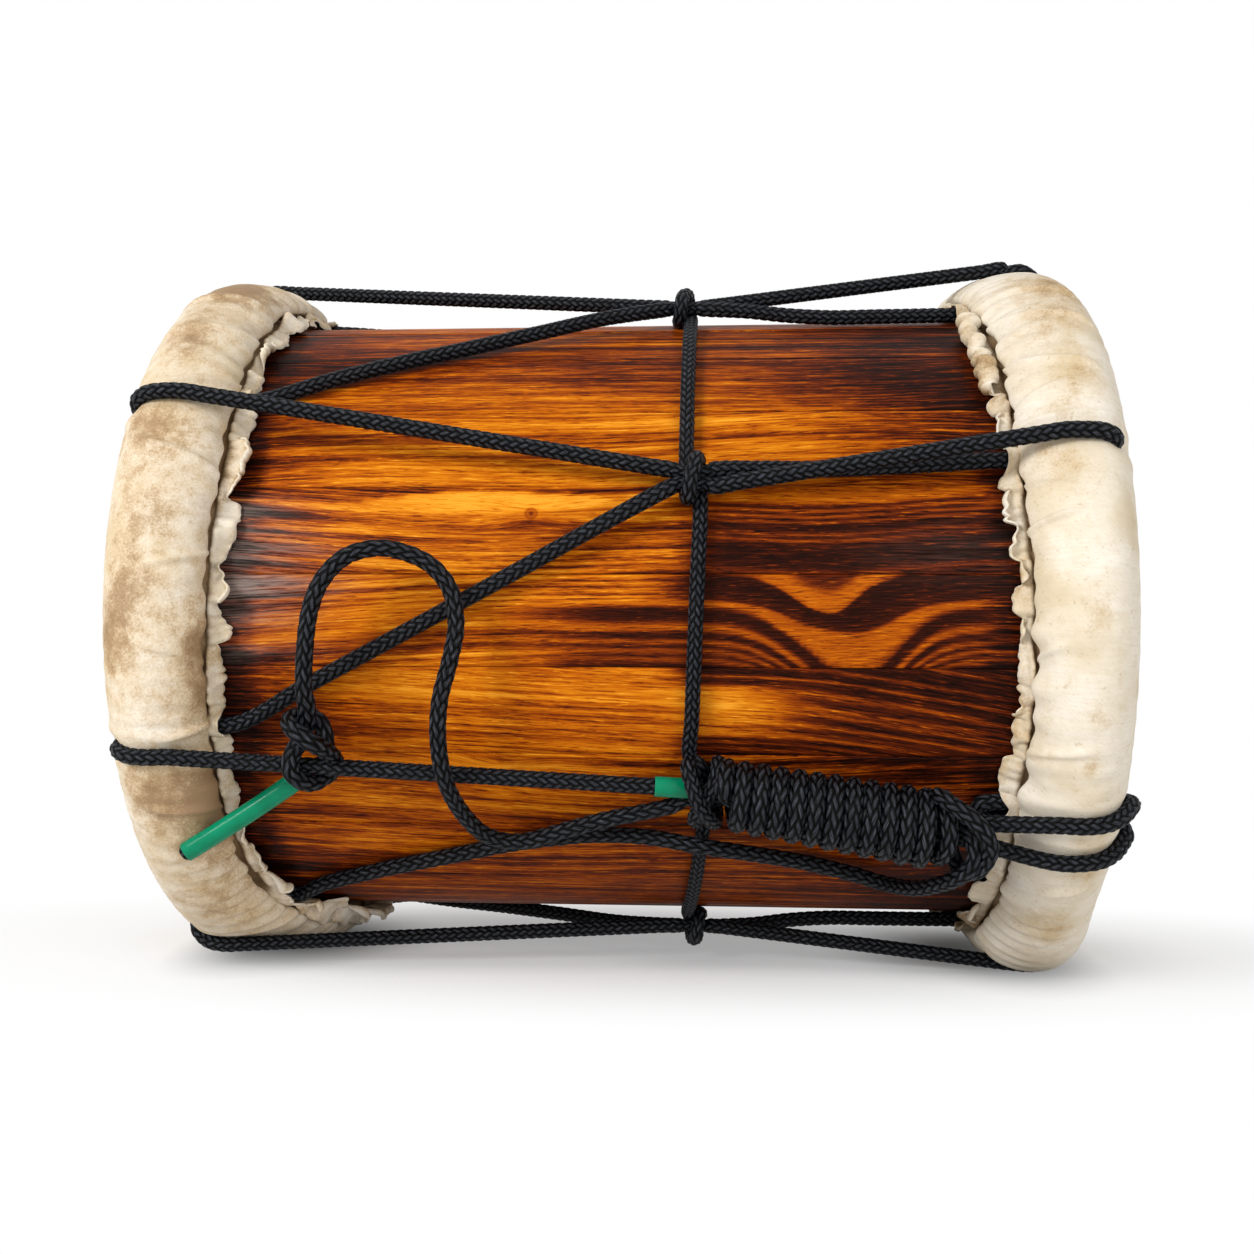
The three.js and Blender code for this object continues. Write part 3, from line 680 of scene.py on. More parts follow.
def sleeveFinish():
    finish, tree, shader = startFinish("greenTubing")
    place = ownPlace(tree)
    mottle = cloudy(place, 60, 4)
    scuffs = between(cloudy(place, 420, 5, .65), .6, .72)
    patches = between(cloudy(place, 95, 2), .52, .66)
    worn = times(times(scuffs, patches), .55)
    green = mixed(worn, ramp(mottle, sleeve["greens"]), srgb(sleeve["scuffed"]))
    coat(shader, green, plus(.12, times(mottle, .14)), sleeve["gloss"])
    bumped(shader, minus(mottle, scuffs), .15, .0003)
    return finish


greenTubing = sleeveFinish()


def makeSleeve(name, start, end, node, body, cut=.0004):
    length = np.linalg.norm(end - start)
    outer, bore, ease = sleeve["radius"], sleeve["bore"], sleeve["ease"]
    profile = [(bore, ease), (bore + .3 * ease, .3 * ease), (bore + .5 * (outer - bore), 0)]
    profile += [(outer - .3 * ease, .3 * ease), (outer, 1.2 * ease)]
    profile += [(outer, share * length) for share in np.linspace(.06, .94, 14)]
    profile += [(r, length - a) for r, a in profile[4::-1]]
    profile += [(bore, share * length) for share in (.9, .5, .1)]
    sides = sleeve["sides"]
    turn = np.arange(sides) * 2 * math.pi / sides
    heading = (end - start) / length
    up = np.array([0, 0, 1.0]) - heading * heading[2]
    up /= np.linalg.norm(up)
    beside = np.cross(heading, up)
    front = math.atan2(-beside[1], -up[1])
    points = []
    for radius, along in profile:
        bow = sleeve["sag"] * math.sin(math.pi * along / length) if length > 2 * sleeve["shortLength"] else 0
        slant = -cut * np.cos(turn - front) * (along / length) ** 8
        oval = 1 + .02 * np.cos(2 * turn + 9 * along)
        points.append(start + heading * (along + slant)[:, None] - up * bow
                      + radius * (oval * np.cos(turn))[:, None] * up
                      + radius * (oval * np.sin(turn))[:, None] * beside)
    piece = makeMesh(name, np.vstack(points), gridQuads(len(profile), sides, looped=True))
    settle(piece, greenTubing, "sleeve", body, node)
    return piece


def alongLine(start, end, distance):
    return lerp(start, end, distance / np.linalg.norm(end - start))


endStart = alongLine(sleeveRoot, sleeveTip, laceRadius)
endTip = alongLine(endStart, sleeveTip, sleeve["endLength"])
endSleeve = makeSleeve("endSleeve", endStart, endTip, "end_sleeve", "sleeved_end", sleeve["endCut"])
shortEnd = alongLine(knotHitch, knotCarrier, 5 * seatGap - sleeve["shortReach"])
shortStart = alongLine(shortEnd, knotCarrier, sleeve["shortLength"])
makeSleeve("shortSleeve", shortStart, shortEnd, "short_sleeve", "drum")

tailRings = []
for share in (-.8, -.45, 0, 1):
    bulge = laceRadius * math.sqrt(1 - min(share, 0) ** 2)
    tailRings.append(ring(alongLine(sleeveRoot, sleeveTip, laceRadius * share), bulge))
for back, full in ((.6 * laceRadius, 1), (-.7 * sleeve["tailOut"], .93), (-sleeve["tailOut"], .72)):
    tailRings.append(ring(alongLine(endTip, sleeveRoot, back), full * laceRadius))
laceEnd = braidedCord("laceEnd", tautRings(tailRings), "sleeved_end", "lace_end")[0]
print("spare lace, knot and sleeves made")


# The lace's runs over the hoops, and the belt that hitches them
def holdLace(name, i, rings, node):
    braidedCord(name + str(i + 1), tautRings(rings), "drum", node + str(i + 1), twist=lace["twist"] * i)


def makeLaces():
    for i, under in enumerate(lace["leftUnders"]):
        rings = hitchedEnd(i, -1, 1)[::-1] + leftWraps[i]
        if i != 3:  # the fourth goes on as the hank's lead
            rings += underLeg(-lace["hemEndX"], under, (i + hitchCount - 1) % hitchCount, -1, -1)
        holdLace("laceLeft", i, rings, "lace_left_")
    for i, under in enumerate(lace["rightUnders"]):
        rings = thirdRun()
        if i != thirdHitch:
            upper = -1 if i == 1 else 1  # the second run crosses over its own return
            rings = hitchedEnd(i, 1, upper)[::-1] + rightWraps[i]
            rings += underLeg(lace["hemEndX"], under, i, 1, -upper)
        holdLace("laceRight", i, rings, "lace_right_")


def coreLeg(upper):
    half = laceRadius + seatGap / 2
    ends = (hankStartX - spare["hankClear"] / 2, hankEndX + 3 * laceRadius)
    return [ring(hankPoint(x, upper * half, -coreSpread / 2)) for x in ends]


def thirdRun():  # through the hank and twice over the hoop
    second = wrapRings(1, lace["secondWrap"], lace["secondUnder"])
    turnX = lace["hemEndX"] - lace["bightReach"]
    middle = (lace["rightWraps"][thirdHitch] + lace["secondWrap"]) / 2
    half = around(laceRadius, underRadius)
    bight = [ring(polar(turnX, underRadius, middle + half)), ring(polar(turnX, underRadius, middle - half))]
    start = hitchedEnd(thirdHitch, 1, 1)[1:][::-1] + coreLeg(1)
    end = coreLeg(-1)[::-1] + hitchedEnd(thirdHitch, 1, -1)[1:]
    return start + rightWraps[thirdHitch] + bight + second[::-1] + end


def hitchRings(index):
    drawn = belt["drawn"]
    if index == thirdHitch:
        return [ring(hitchPoint(index, *np.array(spot) / 1000), drawn) for spot in belt["doubleWrap"]]
    rings = [ring(hitchPoint(index, -hitchPass, strandOffset, -hitchTurn), drawn)]
    for centre, first, alongs in ((-strandOffset, -90, (-1, -.3)), (strandOffset, 90, (.3, 1))):
        for t in np.linspace(0, 1, 5):
            spin = math.radians(first - 180 * t)
            across = centre + hitchTurn * math.cos(spin)
            place = hitchPoint(index, hitchPass * lerp(*alongs, t), across, hitchTurn * math.sin(spin))
            rings.append(ring(place, drawn))
    return rings + [ring(hitchPoint(index, hitchPass, 0, -hitchTurn), drawn)]


def makeBelts():
    onShell = drum["shellRadius"] + seatGap + belt["radius"]
    clear = around(hitchTurn + strandOffset + 2 * belt["radius"], hitchRadius)
    for i, start in enumerate(lace["hitchAngles"]):
        following = (i + 1) % hitchCount
        end = lace["hitchAngles"][following]
        end += 360 * round((start - end) / 360)
        rings = [ring(hitchPoint(i, hitchPass, -seatGap, -hitchTurn), belt["drawn"])]
        rings.append(ring(hitchPoint(i, hitchPass, -hitchTurn, -hitchTurn), belt["drawn"]))
        for t in np.linspace(0, 1, 7):
            x = lerp(hitchX(start) + hitchPass, hitchX(end) - hitchPass, t)
            rings.append(ring(polar(x, onShell, lerp(start - clear, end + clear, t)), belt["radius"]))
        rings += hitchRings(following)
        number = str(following + 1)
        braidedCord("belt" + number, rings, "drum", "belt_" + number, twist=belt["twist"] * i)


makeLaces()
makeBelts()
print("lace and belt made")

# Shell: coopered pine staves, dark stain and varnish
wood = {
    "columns": 30,
    "backColumns": 5,
    "rows": 160,
    "ease": .00025,
    "flatness": .22,
    "calm": .34,  # how strongly most staves show their growth rings
    "lensEdge": .6,  # and the second stave's bright lens, at its edge and inside
    "lensHeart": .08,
    "midTone": .64,
    "leastTone": .16,
    # lighter or darker by an amount, from one x to another: the ends darker, from stain and painted shade;
    # the last two are painted shadow cast by the frills
    "endShades": ((-.2, -.12, -.205), (-.27, .085, .18), (-.3, -.172, -.19), (-.26, .172, .192)),
    # round the drum: darker towards the top and the bottom, from stain and from painted shade where the shell
    # curves away from the lamps
    "sideShades": ((-.17, 29, 48), (.12, 100, 140), (-.18, -33, -54), (.12, -90, -130)),  # and round it
    # soft patches where the stain was rubbed back: x, angle, half length, half width in degrees, amount
    "rubbed": (
        (-.11, 1, .05, 4, .1), (-.19, -6.5, .04, 1.8, .22), (-.19, -1.6, .035, 1.6, .12),
        (-.06, 17.3, .06, 2.2, .16), (-.02, 37, .04, 3, .06), (.06, 30, .05, 6, .1),
        (.055, -15, .03, 6, .16), (-.05, -30, .03, 5, .1), (.16, 16.6, .04, 1.4, .3),
        (-.08, -7, .05, 5, .06), (-.07, 28, .06, 4, .12), (.05, 44, .03, 4, .12), (.0, 160, .1, 14, .14),
        (-.08, -140, .1, 12, .12),
    ),
    "darkened": (
        (.02, 8, .06, 3, .05), (.1, 37, .07, 4, .12), (.15, 46, .06, 8, .24), (.11, 55, .05, 7, .12),
        (-.12, 49, .09, 5, .1), (.02, 47, .05, 5, .12), (-.19, 15.8, .05, 2, .26),
        (-.19, 9, .045, 2, .16), (-.185, 2.5, .035, 2.6, .16), (-.17, -9.5, .05, 1.6, .14),
        (-.16, -21, .06, 5, .2), (.1, -26, .08, 3, .14), (.15, -21, .05, 6, .16), (.07, -38, .12, 8, .12),
        (.12, 120, .1, 12, .14), (-.1, 110, .1, 10, .14), (.1, -115, .1, 12, .16),
    ),
    # painted sheen, the lamps reflected in the varnish over the dark wood: x, angle, half length, half width
    # in degrees, amount
    "sheenPatches": (
        (-.19, 16.1, .03, 2, .4), (-.185, 12.6, .03, 1.5, .25), (-.185, 8.8, .035, 2.2, .6),
        (-.18, 3.2, .034, 2, .95), (-.185, -1.7, .03, 1.8, .4), (-.185, -7, .035, 2, .2),
        (.165, 9, .04, 5, .06),
    ),
    "pinKnots": ((-.0401, 15.3, .0033, .55), (-.0564, -26, .0024, .35)),  # x, angle, size, how plain
    # rings swell round a knot: stave, x, place across it, half length, half width, height, softness
    "swells": ((1, -.0401, .008, .018, .006, .0045, .0025), (22, -.0564, .014, .02, .008, .006, .003)),
    "stains": (
        (0, "100604"), (.18, "260c05"), (.36, "561d06"), (.52, "8a3a05"), (.68, "b55c07"), (.84, "d07c11"),
        (1, "e6992a"),
    ),
    # the painted sheen's grey-brown colour
    "paintedSheen": "8a7a72",
    "gloss": .035,
    # drawn figures, mm across the stave and lightness: a flame on the first stave, a tongue on the second and
    # a fan on the last. Flame and tongue share one run of numbers, and the fan is kept from 2 up
    "flameSpan": (-26, 44),
    "flameShare": .66,
    "tongueSpan": (-24, 24),
    "fanSpan": (-24, 42),
    "flameReach": (-.03, .07),  # its rings, m across the stave
    "flameDepth": .016,
    "flameDepths": ((.003, .012, .024), (.018, .0096, .0070)),  # and more, from one ring to another
    "flameInner": (.012, .022),
    "flameCentre": (.1205, .106),  # x, from the outer rings to the inner
    "flameLean": (.005, .024),
    "flameWidths": ((.035, .025), (.0265, .0195)),  # left and right, outer and inner
    "tongueRise": (.0035, .1, .05),  # height, x, half length
    "lens": (-.0635, .068, .0141, .0065),  # x, half length, place across, half width
    "fanBend": (.09, .095, .03),  # slope, x, how softly it sets in
    "flame": (
        (-21.5, .2), (-19.6, .42), (-18.4, .46), (-16.8, .22), (-15.4, .44), (-14.2, .5), (-12.4, .22),
        (-10.8, .46), (-9.6, .52), (-7.8, .22), (-5.8, .2), (-4.2, .52), (-2.2, .58), (-.6, .4), (1, .2),
        (5.4, .18), (6.8, .4), (8, .62), (9.4, .58), (10.8, .24), (15, .19), (19, .15), (22.2, .19),
        (23.6, .56), (26, .64), (31, .62), (33.2, .5), (35.4, .34), (42, .3),
    ),
    "tongue": (
        (-21.5, .2), (-20, .36), (-18.5, .32), (-16.5, .14), (-12, .12), (-8, .12), (-5.2, .2),
        (-3.2, .46), (-1.8, .2), (-.2, .44), (1.6, .19), (4.4, .18), (6, .48), (7.4, .19), (8.9, .52),
        (10.4, .19), (12, .54), (13.8, .2), (15.6, .58), (18.5, .66), (21.5, .58),
    ),
    "fan": (
        (-22.6, .36), (-21.4, .18), (-19.6, .2), (-18.4, .42), (-16.6, .18), (-14.6, .38), (-13, .16),
        (-11.6, .22), (-10.2, .54), (-8.4, .26), (-5.6, .22), (-3.7, .54), (-2.2, .2), (-.4, .18),
        (2.2, .5), (3.8, .32), (5.8, .52), (7.4, .24), (9.8, .18), (12.8, .52), (14.6, .22), (18.2, .17),
        (19.6, .56), (20.7, .15), (23.4, .13), (25.3, .42), (26.6, .16), (32.4, .15), (34.2, .42),
        (36, .14), (40, .12),
    ),
}


def pinned(value, span):
    return (value - span[0]) / (span[1] - span[0])


def flameRings(x, across):  # growth rings dip in a steep tongue, the lower ones more
    rings = np.linspace(*wood["flameReach"], 400)
    depth = wood["flameDepth"] + shaded(rings, wood["flameDepths"])
    inner = smoothstep(rings, *wood["flameInner"])
    centre = lerp(*wood["flameCentre"], smoothstep(rings, *wood["flameLean"]))
    left, right = [lerp(*widths, inner) for widths in wood["flameWidths"]]
    found = np.empty_like(across)
    for i in range(len(x)):
        bell = np.exp(-((x[i, 0] - centre) / np.where(x[i, 0] < centre, left, right)) ** 2)
        found[i] = np.interp(across[i], rings - depth * bell, rings)
    return found


def staveGrain(number, x, across):  # rings, how bold they are, the drawn figure and its share
    source = np.random.default_rng(100 + number)
    drift = .006 * np.sin(x * source.uniform(5, 11) + source.uniform(0, 6))
    drift += .0025 * np.sin(x * source.uniform(16, 26) + source.uniform(0, 6))
    ringed = across + drift * source.uniform(.3, 1) + x * source.uniform(-.02, .02)
    bold = wood["calm"] * source.uniform(.7, 1.3)
    for stave, knotX, knotPlace, halfLength, halfWidth, height, soft in wood["swells"]:
        if stave == number:
            far = np.hypot((x - knotX) / halfLength, (across - knotPlace) / halfWidth)
            ringed = ringed + height * np.exp(-far ** 2) * np.tanh((across - knotPlace) / soft)
    figure = 0 * x
    share = 0 * x
    if number == 0:
        figure = wood["flameShare"] * pinned(1000 * flameRings(x, across), wood["flameSpan"]).clip(0, .98)
        upper = smoothstep(across, .006, .011)
        share = smoothstep(x, lerp(-.07, .01, upper), lerp(.01, .05, upper))
        bold = .5
    if number == 1:
        rise, riseX, halfLength = wood["tongueRise"]
        tongue = across + rise * np.exp(-((x - riseX) / halfLength) ** 2) - .002 * smoothstep(x, .1, .2)
        figure = lerp(wood["flameShare"], 1, pinned(1000 * tongue, wood["tongueSpan"]))
        share = smoothstep(x, .02, .06) * .9
        lensX, halfLength, lensPlace, halfWidth = wood["lens"]
        far = ((x - lensX) / halfLength) ** 2 + np.abs(across - lensPlace) / halfWidth
        lens = smoothstep(1 - far, 0, .12)
        bold = lerp(wood["lensEdge"], wood["lensHeart"], lens)
    if number == 23:  # its rings fan down to the right
        slope, bendX, soft = wood["fanBend"]
        fan = across + slope * (x - bendX + np.hypot(x - bendX, soft))
        ringed = ringed + fan - across
        figure = 2 + pinned(1000 * fan, wood["fanSpan"]).clip(0, 1)
        outer = smoothstep(np.abs(fan - .0015), .0125, .0145)
        share = .92 * lerp(smoothstep(x, .055, .125), smoothstep(x, .015, .05), outer)
        bold = lerp(.32, .2, smoothstep(x, .0, .06))
    # the drawn figures fade out by the right frill, so that the painted shadow there shows through
    share = share * (1 - .7 * smoothstep(x, .176, .19))
    return ringed, bold + 0 * x, figure, share


def patchwork(patches, x, angle):
    amount = 0 * x
    for px, pa, halfLength, halfWidth, strength in patches:
        far = ((x - px) / halfLength) ** 2 + (angleGap(angle, pa) / halfWidth) ** 2
        amount = amount + strength * np.exp(-far)
    return amount


# the stain's tone with painted shade mixed in: darker ends, painted shadow beside the frills, and darker
# towards the top and bottom
def stainAndShadeTone(x, angle):
    tone = wood["midTone"] + patchwork(wood["rubbed"], x, angle) - patchwork(wood["darkened"], x, angle)
    tone = tone + shaded(x, wood["endShades"]) + shaded(angleGap(angle, 0), wood["sideShades"])
    return np.maximum(tone, wood["leastTone"])


def woodFinish():
    finish, tree, shader = startFinish("stainedPine")
    grain = stored(tree, "grain", "Vector")
    tone = stored(tree, "tone")
    bold = stored(tree, "bold")
    bands = cloudy(stretched(grain, (3.4, 190, 1)), 1, 2, .5)
    streaks = cloudy(stretched(grain, (38, 950, 1.7)), 1, 4, .7)
    rings = between(cloudy(stretched(grain, (5, 430, 1.9)), 1, 2, .45), .5, .6)
    fibres = cloudy(stretched(grain, (80, 1700, 2.3)), 1, 3, .6)
    darkDashes = between(cloudy(stretched(grain, (80, 1500, 3.1)), 1, 3, .6), .55, .64)
    paleDashes = between(cloudy(stretched(grain, (95, 1250, 5.3)), 1, 2), .62, .7)
    contrast = minus(1.75, times(tone, 1.5))
    worn = cloudy(stretched(grain, (16, 60, 1.3)), 1, 3, .55)
    total = plus(tone, times(swung(bands, 2.6), bold))
    total = plus(total, swung(worn, .36))
    total = minus(total, times(rings, times(bold, .36)))
    total = plus(total, .05)
    split = wood["flameShare"]
    flame = [(pinned(mm, wood["flameSpan"]) * split, level) for mm, level in wood["flame"]]
    tongue = [(lerp(split, 1, pinned(mm, wood["tongueSpan"])), level) for mm, level in wood["tongue"]]
    fan = [(pinned(mm, wood["fanSpan"]), level) for mm, level in wood["fan"]]
    place = stored(tree, "figure")
    later = calc("GREATER_THAN", place, split)
    third = calc("GREATER_THAN", place, 1.5)
    second = minus(later, third)
    stray = plus(swung(worn, .035), swung(streaks, .02))
    stray = times(stray, minus(1, times(later, .65)))
    figure = plus(place, stray)
    lines = times(ramp(figure, flame), minus(1, later))
    lines = plus(lines, times(ramp(figure, tongue), second))
    fanned = ramp(minus(figure, 2), fan)
    lines = plus(lines, times(fanned, third))
    drawn = minus(lines, total)
    share = stored(tree, "share")
    total = plus(total, times(drawn, share))
    contrast = times(contrast, minus(1, times(share, .5)))
    total = plus(total, times(swung(streaks, .95), contrast))
    total = plus(total, swung(fibres, .5))
    total = minus(total, times(darkDashes, .22))
    total = plus(total, times(paleDashes, .2))
    place = ownPlace(tree)
    for x, angle, size, plain in wood["pinKnots"]:
        off = plus(farFrom(place, tuple(polar(x, drum["shellRadius"], angle))), swung(worn, .4 * size))
        inside = minus(1, between(off, .75 * size, 1.15 * size))
        heart = minus(1, between(off, .1 * size, .5 * size))
        bark = times(inside, between(off, .5 * size, .85 * size))
        dark = plus(times(heart, .34), times(bark, .1))
        flat = times(minus(.5, total), times(inside, plain))
        total = plus(total, flat)
        total = minus(total, times(dark, plain))
    # painted sheen: the lamps' reflection in the varnish, broken up along the streaks and mixed into the
    # colour
    uneven = plus(between(streaks, .36, .62), times(between(worn, .4, .6), .35))
    sheenShare = calc("MULTIPLY", stored(tree, "paintedSheen"), uneven, clamp=True)
    colour = mixed(sheenShare, ramp(total, wood["stains"]), srgb(wood["paintedSheen"]))
    coat(shader, colour, plus(.34, times(streaks, .22)), wood["gloss"])
    height = plus(streaks, times(fibres, .5))
    bumped(shader, height, .2, .0004)
    return finish


stainedPine = woodFinish()


def makeStave(number):
    source = np.random.default_rng(500 + number)
    step = 360 / drum["staveCount"]
    centre = drum["firstStaveAngle"] + step * number
    outer = drum["shellRadius"] + source.uniform(-.00025, .0001)
    inner = drum["shellRadius"] - drum["staveThickness"]
    half = step / 2 - around(seatGap / 2, outer)
    ease = around(wood["ease"], outer)
    turns = np.concatenate([[-half], np.linspace(-half + ease, half - ease, wood["columns"]), [half]])
    flat = math.cos(math.radians(half)) / np.cos(np.radians(turns))
    face = outer * (1 - wood["flatness"] * (flat.max() - flat))
    face[[0, -1]] -= wood["ease"]
    back = np.linspace(half, -half, wood["backColumns"])
    angles = np.concatenate([turns, back])
    radii = np.concatenate([face, np.full(len(back), inner)])
    xs = np.linspace(-drum["staveLength"] / 2, drum["staveLength"] / 2, wood["rows"])
    x = np.repeat(xs[:, None], len(angles), 1)
    warp = 1 + .0006 * np.sin(x * source.uniform(6, 10) + source.uniform(0, 6)) * (radii > inner + .001)
    points = polar(x, radii * warp, centre + angles)
    ends = np.array([points[0].mean(0), points[-1].mean(0)])
    rows, sides = x.shape
    piece = makeMesh("stave" + str(number + 1), np.vstack([points.reshape(-1, 3), ends]),
                     gridQuads(rows, sides), endCaps(rows, sides))
    across = np.radians(angles)[None, :] * radii[None, :] + 0 * x
    ringed, bold, figure, share = staveGrain(number, x, across)
    grain = np.stack([x, ringed, np.full_like(x, number * 7.3)], -1).reshape(-1, 3)
    turned = centre + angles[None, :] + 0 * x
    tone = stainAndShadeTone(x, turned) + source.uniform(-.04, .04)
    if number == 1:  # a long bright lens in its grain
        edge, heart = wood["lensEdge"], wood["lensHeart"]
        tone = tone + .15 * (bold < edge) * (edge - bold) / (edge - heart)
    keep(piece, "grain", np.vstack([grain, grain[:2]]))
    # where the painted sheen lies
    paintedSheen = patchwork(wood["sheenPatches"], x, turned)
    layers = {"tone": tone, "bold": bold, "figure": figure, "share": share, "paintedSheen": paintedSheen}
    for name, values in layers.items():
        keep(piece, name, np.append(values.ravel(), [0, 0]))
    settle(piece, stainedPine, "stave", "drum", "stave_" + str(number + 1).zfill(2))


for number in range(drum["staveCount"]):
    makeStave(number)
print("staves made")

# Heads: hide stretched over the ends, lapped round the hoops and gathered in a frill
hide = {
    "columns": 900,
    "headThickness": .0014,
    "lining": .0026,  # its inner side round the hoop
    "rollTurn": 150,
    "rollRadius": .003,
    "hem": ((.214, .1842, 176), (.219, .1843, 178)),  # under the roll: x, radius, turn
    "hemBack": ((.219, .18445, 1), (.2125, .18445, 0)),  # x, radius, share of the lap
    "leastHeight": .0004,
    "arcRadius": .2,  # arcs on it are measured at this radius
    # uneven waves: how high, fewest and most to the turn, and which run of numbers
    "swells": ((.0007, 3, 9, 0),),
    "fineWrinkles": ((.000242, 70, 190, 1),),
    "coarseWrinkles": ((.00088, 24, 60, 2),),
    "slantWrinkles": ((.000198, 50, 130, 3),),
    "slant": .05,
    "scallops": ((.0016, 18, 46, 91), (.001, 50, 90, 95)),
    "sags": ((.0003, 1, 5, 71),),
    "sunk": .0002,  # the head lies a little inside the rim
    "pressed": (2, 20, 118, 150),  # a lace presses on it from these turns to these
    "laceDent": (.0010, .0052),  # depth and half width
    "dentLip": (.0006, .0085, .0035),  # height, how far out and half width
    "hole": (.0016, .007, 12),  # depth, half width and half turn
    "holeTurn": (18, 2600),  # where it is, and how much that shifts with a tuck
    "foldGain": (2.2, .85),  # of their heights and widths
    "bulge": (.0075, -68, 10),  # low on the right: height, angle, half width
    # gathered in small pleats: amount, and the angles where that comes and goes
    "leftGathers": ((1, -100, -78, -48, -30), (.5, 58, 75, 100, 130)),
    "rightGathers": ((1, -110, -92, -62, -48), (.35, 24, 44, 100, 130), (.5, 58, 75, 100, 130)),
    "pleats": (128, 2.5, .0012),  # how many round the drum, how uneven, how high
    "faceRadii": (.012, .03, .05, .07, .09, .108, .125, .14, .15, .158, .164, .169, .1725),
    "liningTurns": (150, 130, 110, 90, 70, 50, 30, 15),
    "innerRadii": (.176, .15, .1, .05, .012),
    # how far the roll laps over the body, mm, by angle
    "leftLap": ((90, 9), (40, 10), (25, 10), (10, 8.5), (0, 7.6), (-20, 6.5), (-38, 6.5), (-50, 8),
                (-58, 12), (-66, 22), (-74, 34), (-86, 38), (-105, 28), (-130, 10), (-150, 7), (180, 7)),
    "rightLap": ((90, 19), (66, 16), (58, 14), (48, 10.5), (31, 10), (21, 9), (12, 7), (5, 5.5), (0, 4.5),
                 (-5, 6), (-12, 3.5), (-24, 5.5), (-31, 7), (-48, 6), (-90, 6), (180, 6)),
    "ivory": ((.3, "cfbfa2"), (.5, "ddd2bf"), (.7, "e6ded1")),
    "veins": "c9b58f",
    "hairs": "b7a27c",
    "pores": "a58554",
    "tan": "b3925f",
    "deepTan": "765432",
    "gloss": .35,
    # tan stains: angle, turn over the rim, half length in degrees round, half width in degrees over, amount
    "leftStains": (
        (66, 95, 9, 40, .95), (46, 93, 6, 25, .55), (26, 80, 5, 35, .6), (14, 87, 6, 30, .35),
        (2.6, 78, 5, 30, .55), (-5, 60, 5, 28, .7), (-5, 150, 5, 25, .6), (-13, 160, 5, 30, .75),
        (-28, 87, 5, 35, .6), (-29, 150, 6, 35, .95), (-36, 150, 7, 40, .6), (-52, 120, 8, 40, .35),
        (110, 90, 14, 40, .4), (160, 80, 16, 40, .45), (-120, 90, 14, 50, .4), (-165, 110, 12, 40, .5),
    ),
    "rightStains": (
        (34, 90, 3, 26, .5), (29, 105, 3, 20, .35), (21, 118, 4, 26, .5), (-39, 78, 6, 22, .4),
        (-55, 97, 7, 30, .45), (-1, 92, 2.5, 12, .45), (-15, 90, 1.5, 9, .45), (-22, 92, 1.6, 8, .65),
        (-30, 80, 1.5, 8, .45), (60, 80, 10, 40, .75), (46, 100, 7, 30, .45), (105, 100, 12, 40, .35),
        (150, 90, 14, 40, .4), (-110, 80, 12, 40, .35), (-150, 90, 14, 40, .35),
    ),
    # raised folds: start angle, end angle, start turn, end turn, height, half width
    "leftFolds": (
        (38, 35, 165, 100, .0011, .002), (20, 24, 165, 80, .0009, .0022), (8, 6, 165, 110, .001, .0018),
        (-9, -6, 165, 105, .0009, .0022), (-18, -19, 165, 120, .001, .002),
        (50, 47, 165, 70, .0009, .003), (62, 58, 165, 60, .001, .003), (-33, -30, 165, 90, .0012, .0025),
        (120, 116, 165, 70, .001, .003), (-140, -136, 165, 70, .001, .003),
        (170, 173, 165, 80, .001, .003),
    ),
    "rightFolds": (
        (40, 36.5, 165, 75, .0012, .002), (30, 33, 165, 100, .001, .0018),
        (10.5, 12.5, 165, 115, .0013, .0016), (27, 27.5, 165, 60, .0008, .0022),
        (52, 47, 165, 60, .001, .0026), (60, 57, 165, 70, .0012, .0024), (18, 17, 165, 120, .0009, .0016),
        (-8, -6, 165, 130, .0009, .002), (-22, -20, 165, 100, .0009, .0022),
        (-47, -44, 165, 80, .0013, .0024), (115, 112, 165, 70, .001, .003),
        (-130, -134, 165, 70, .001, .003),
    ),
}


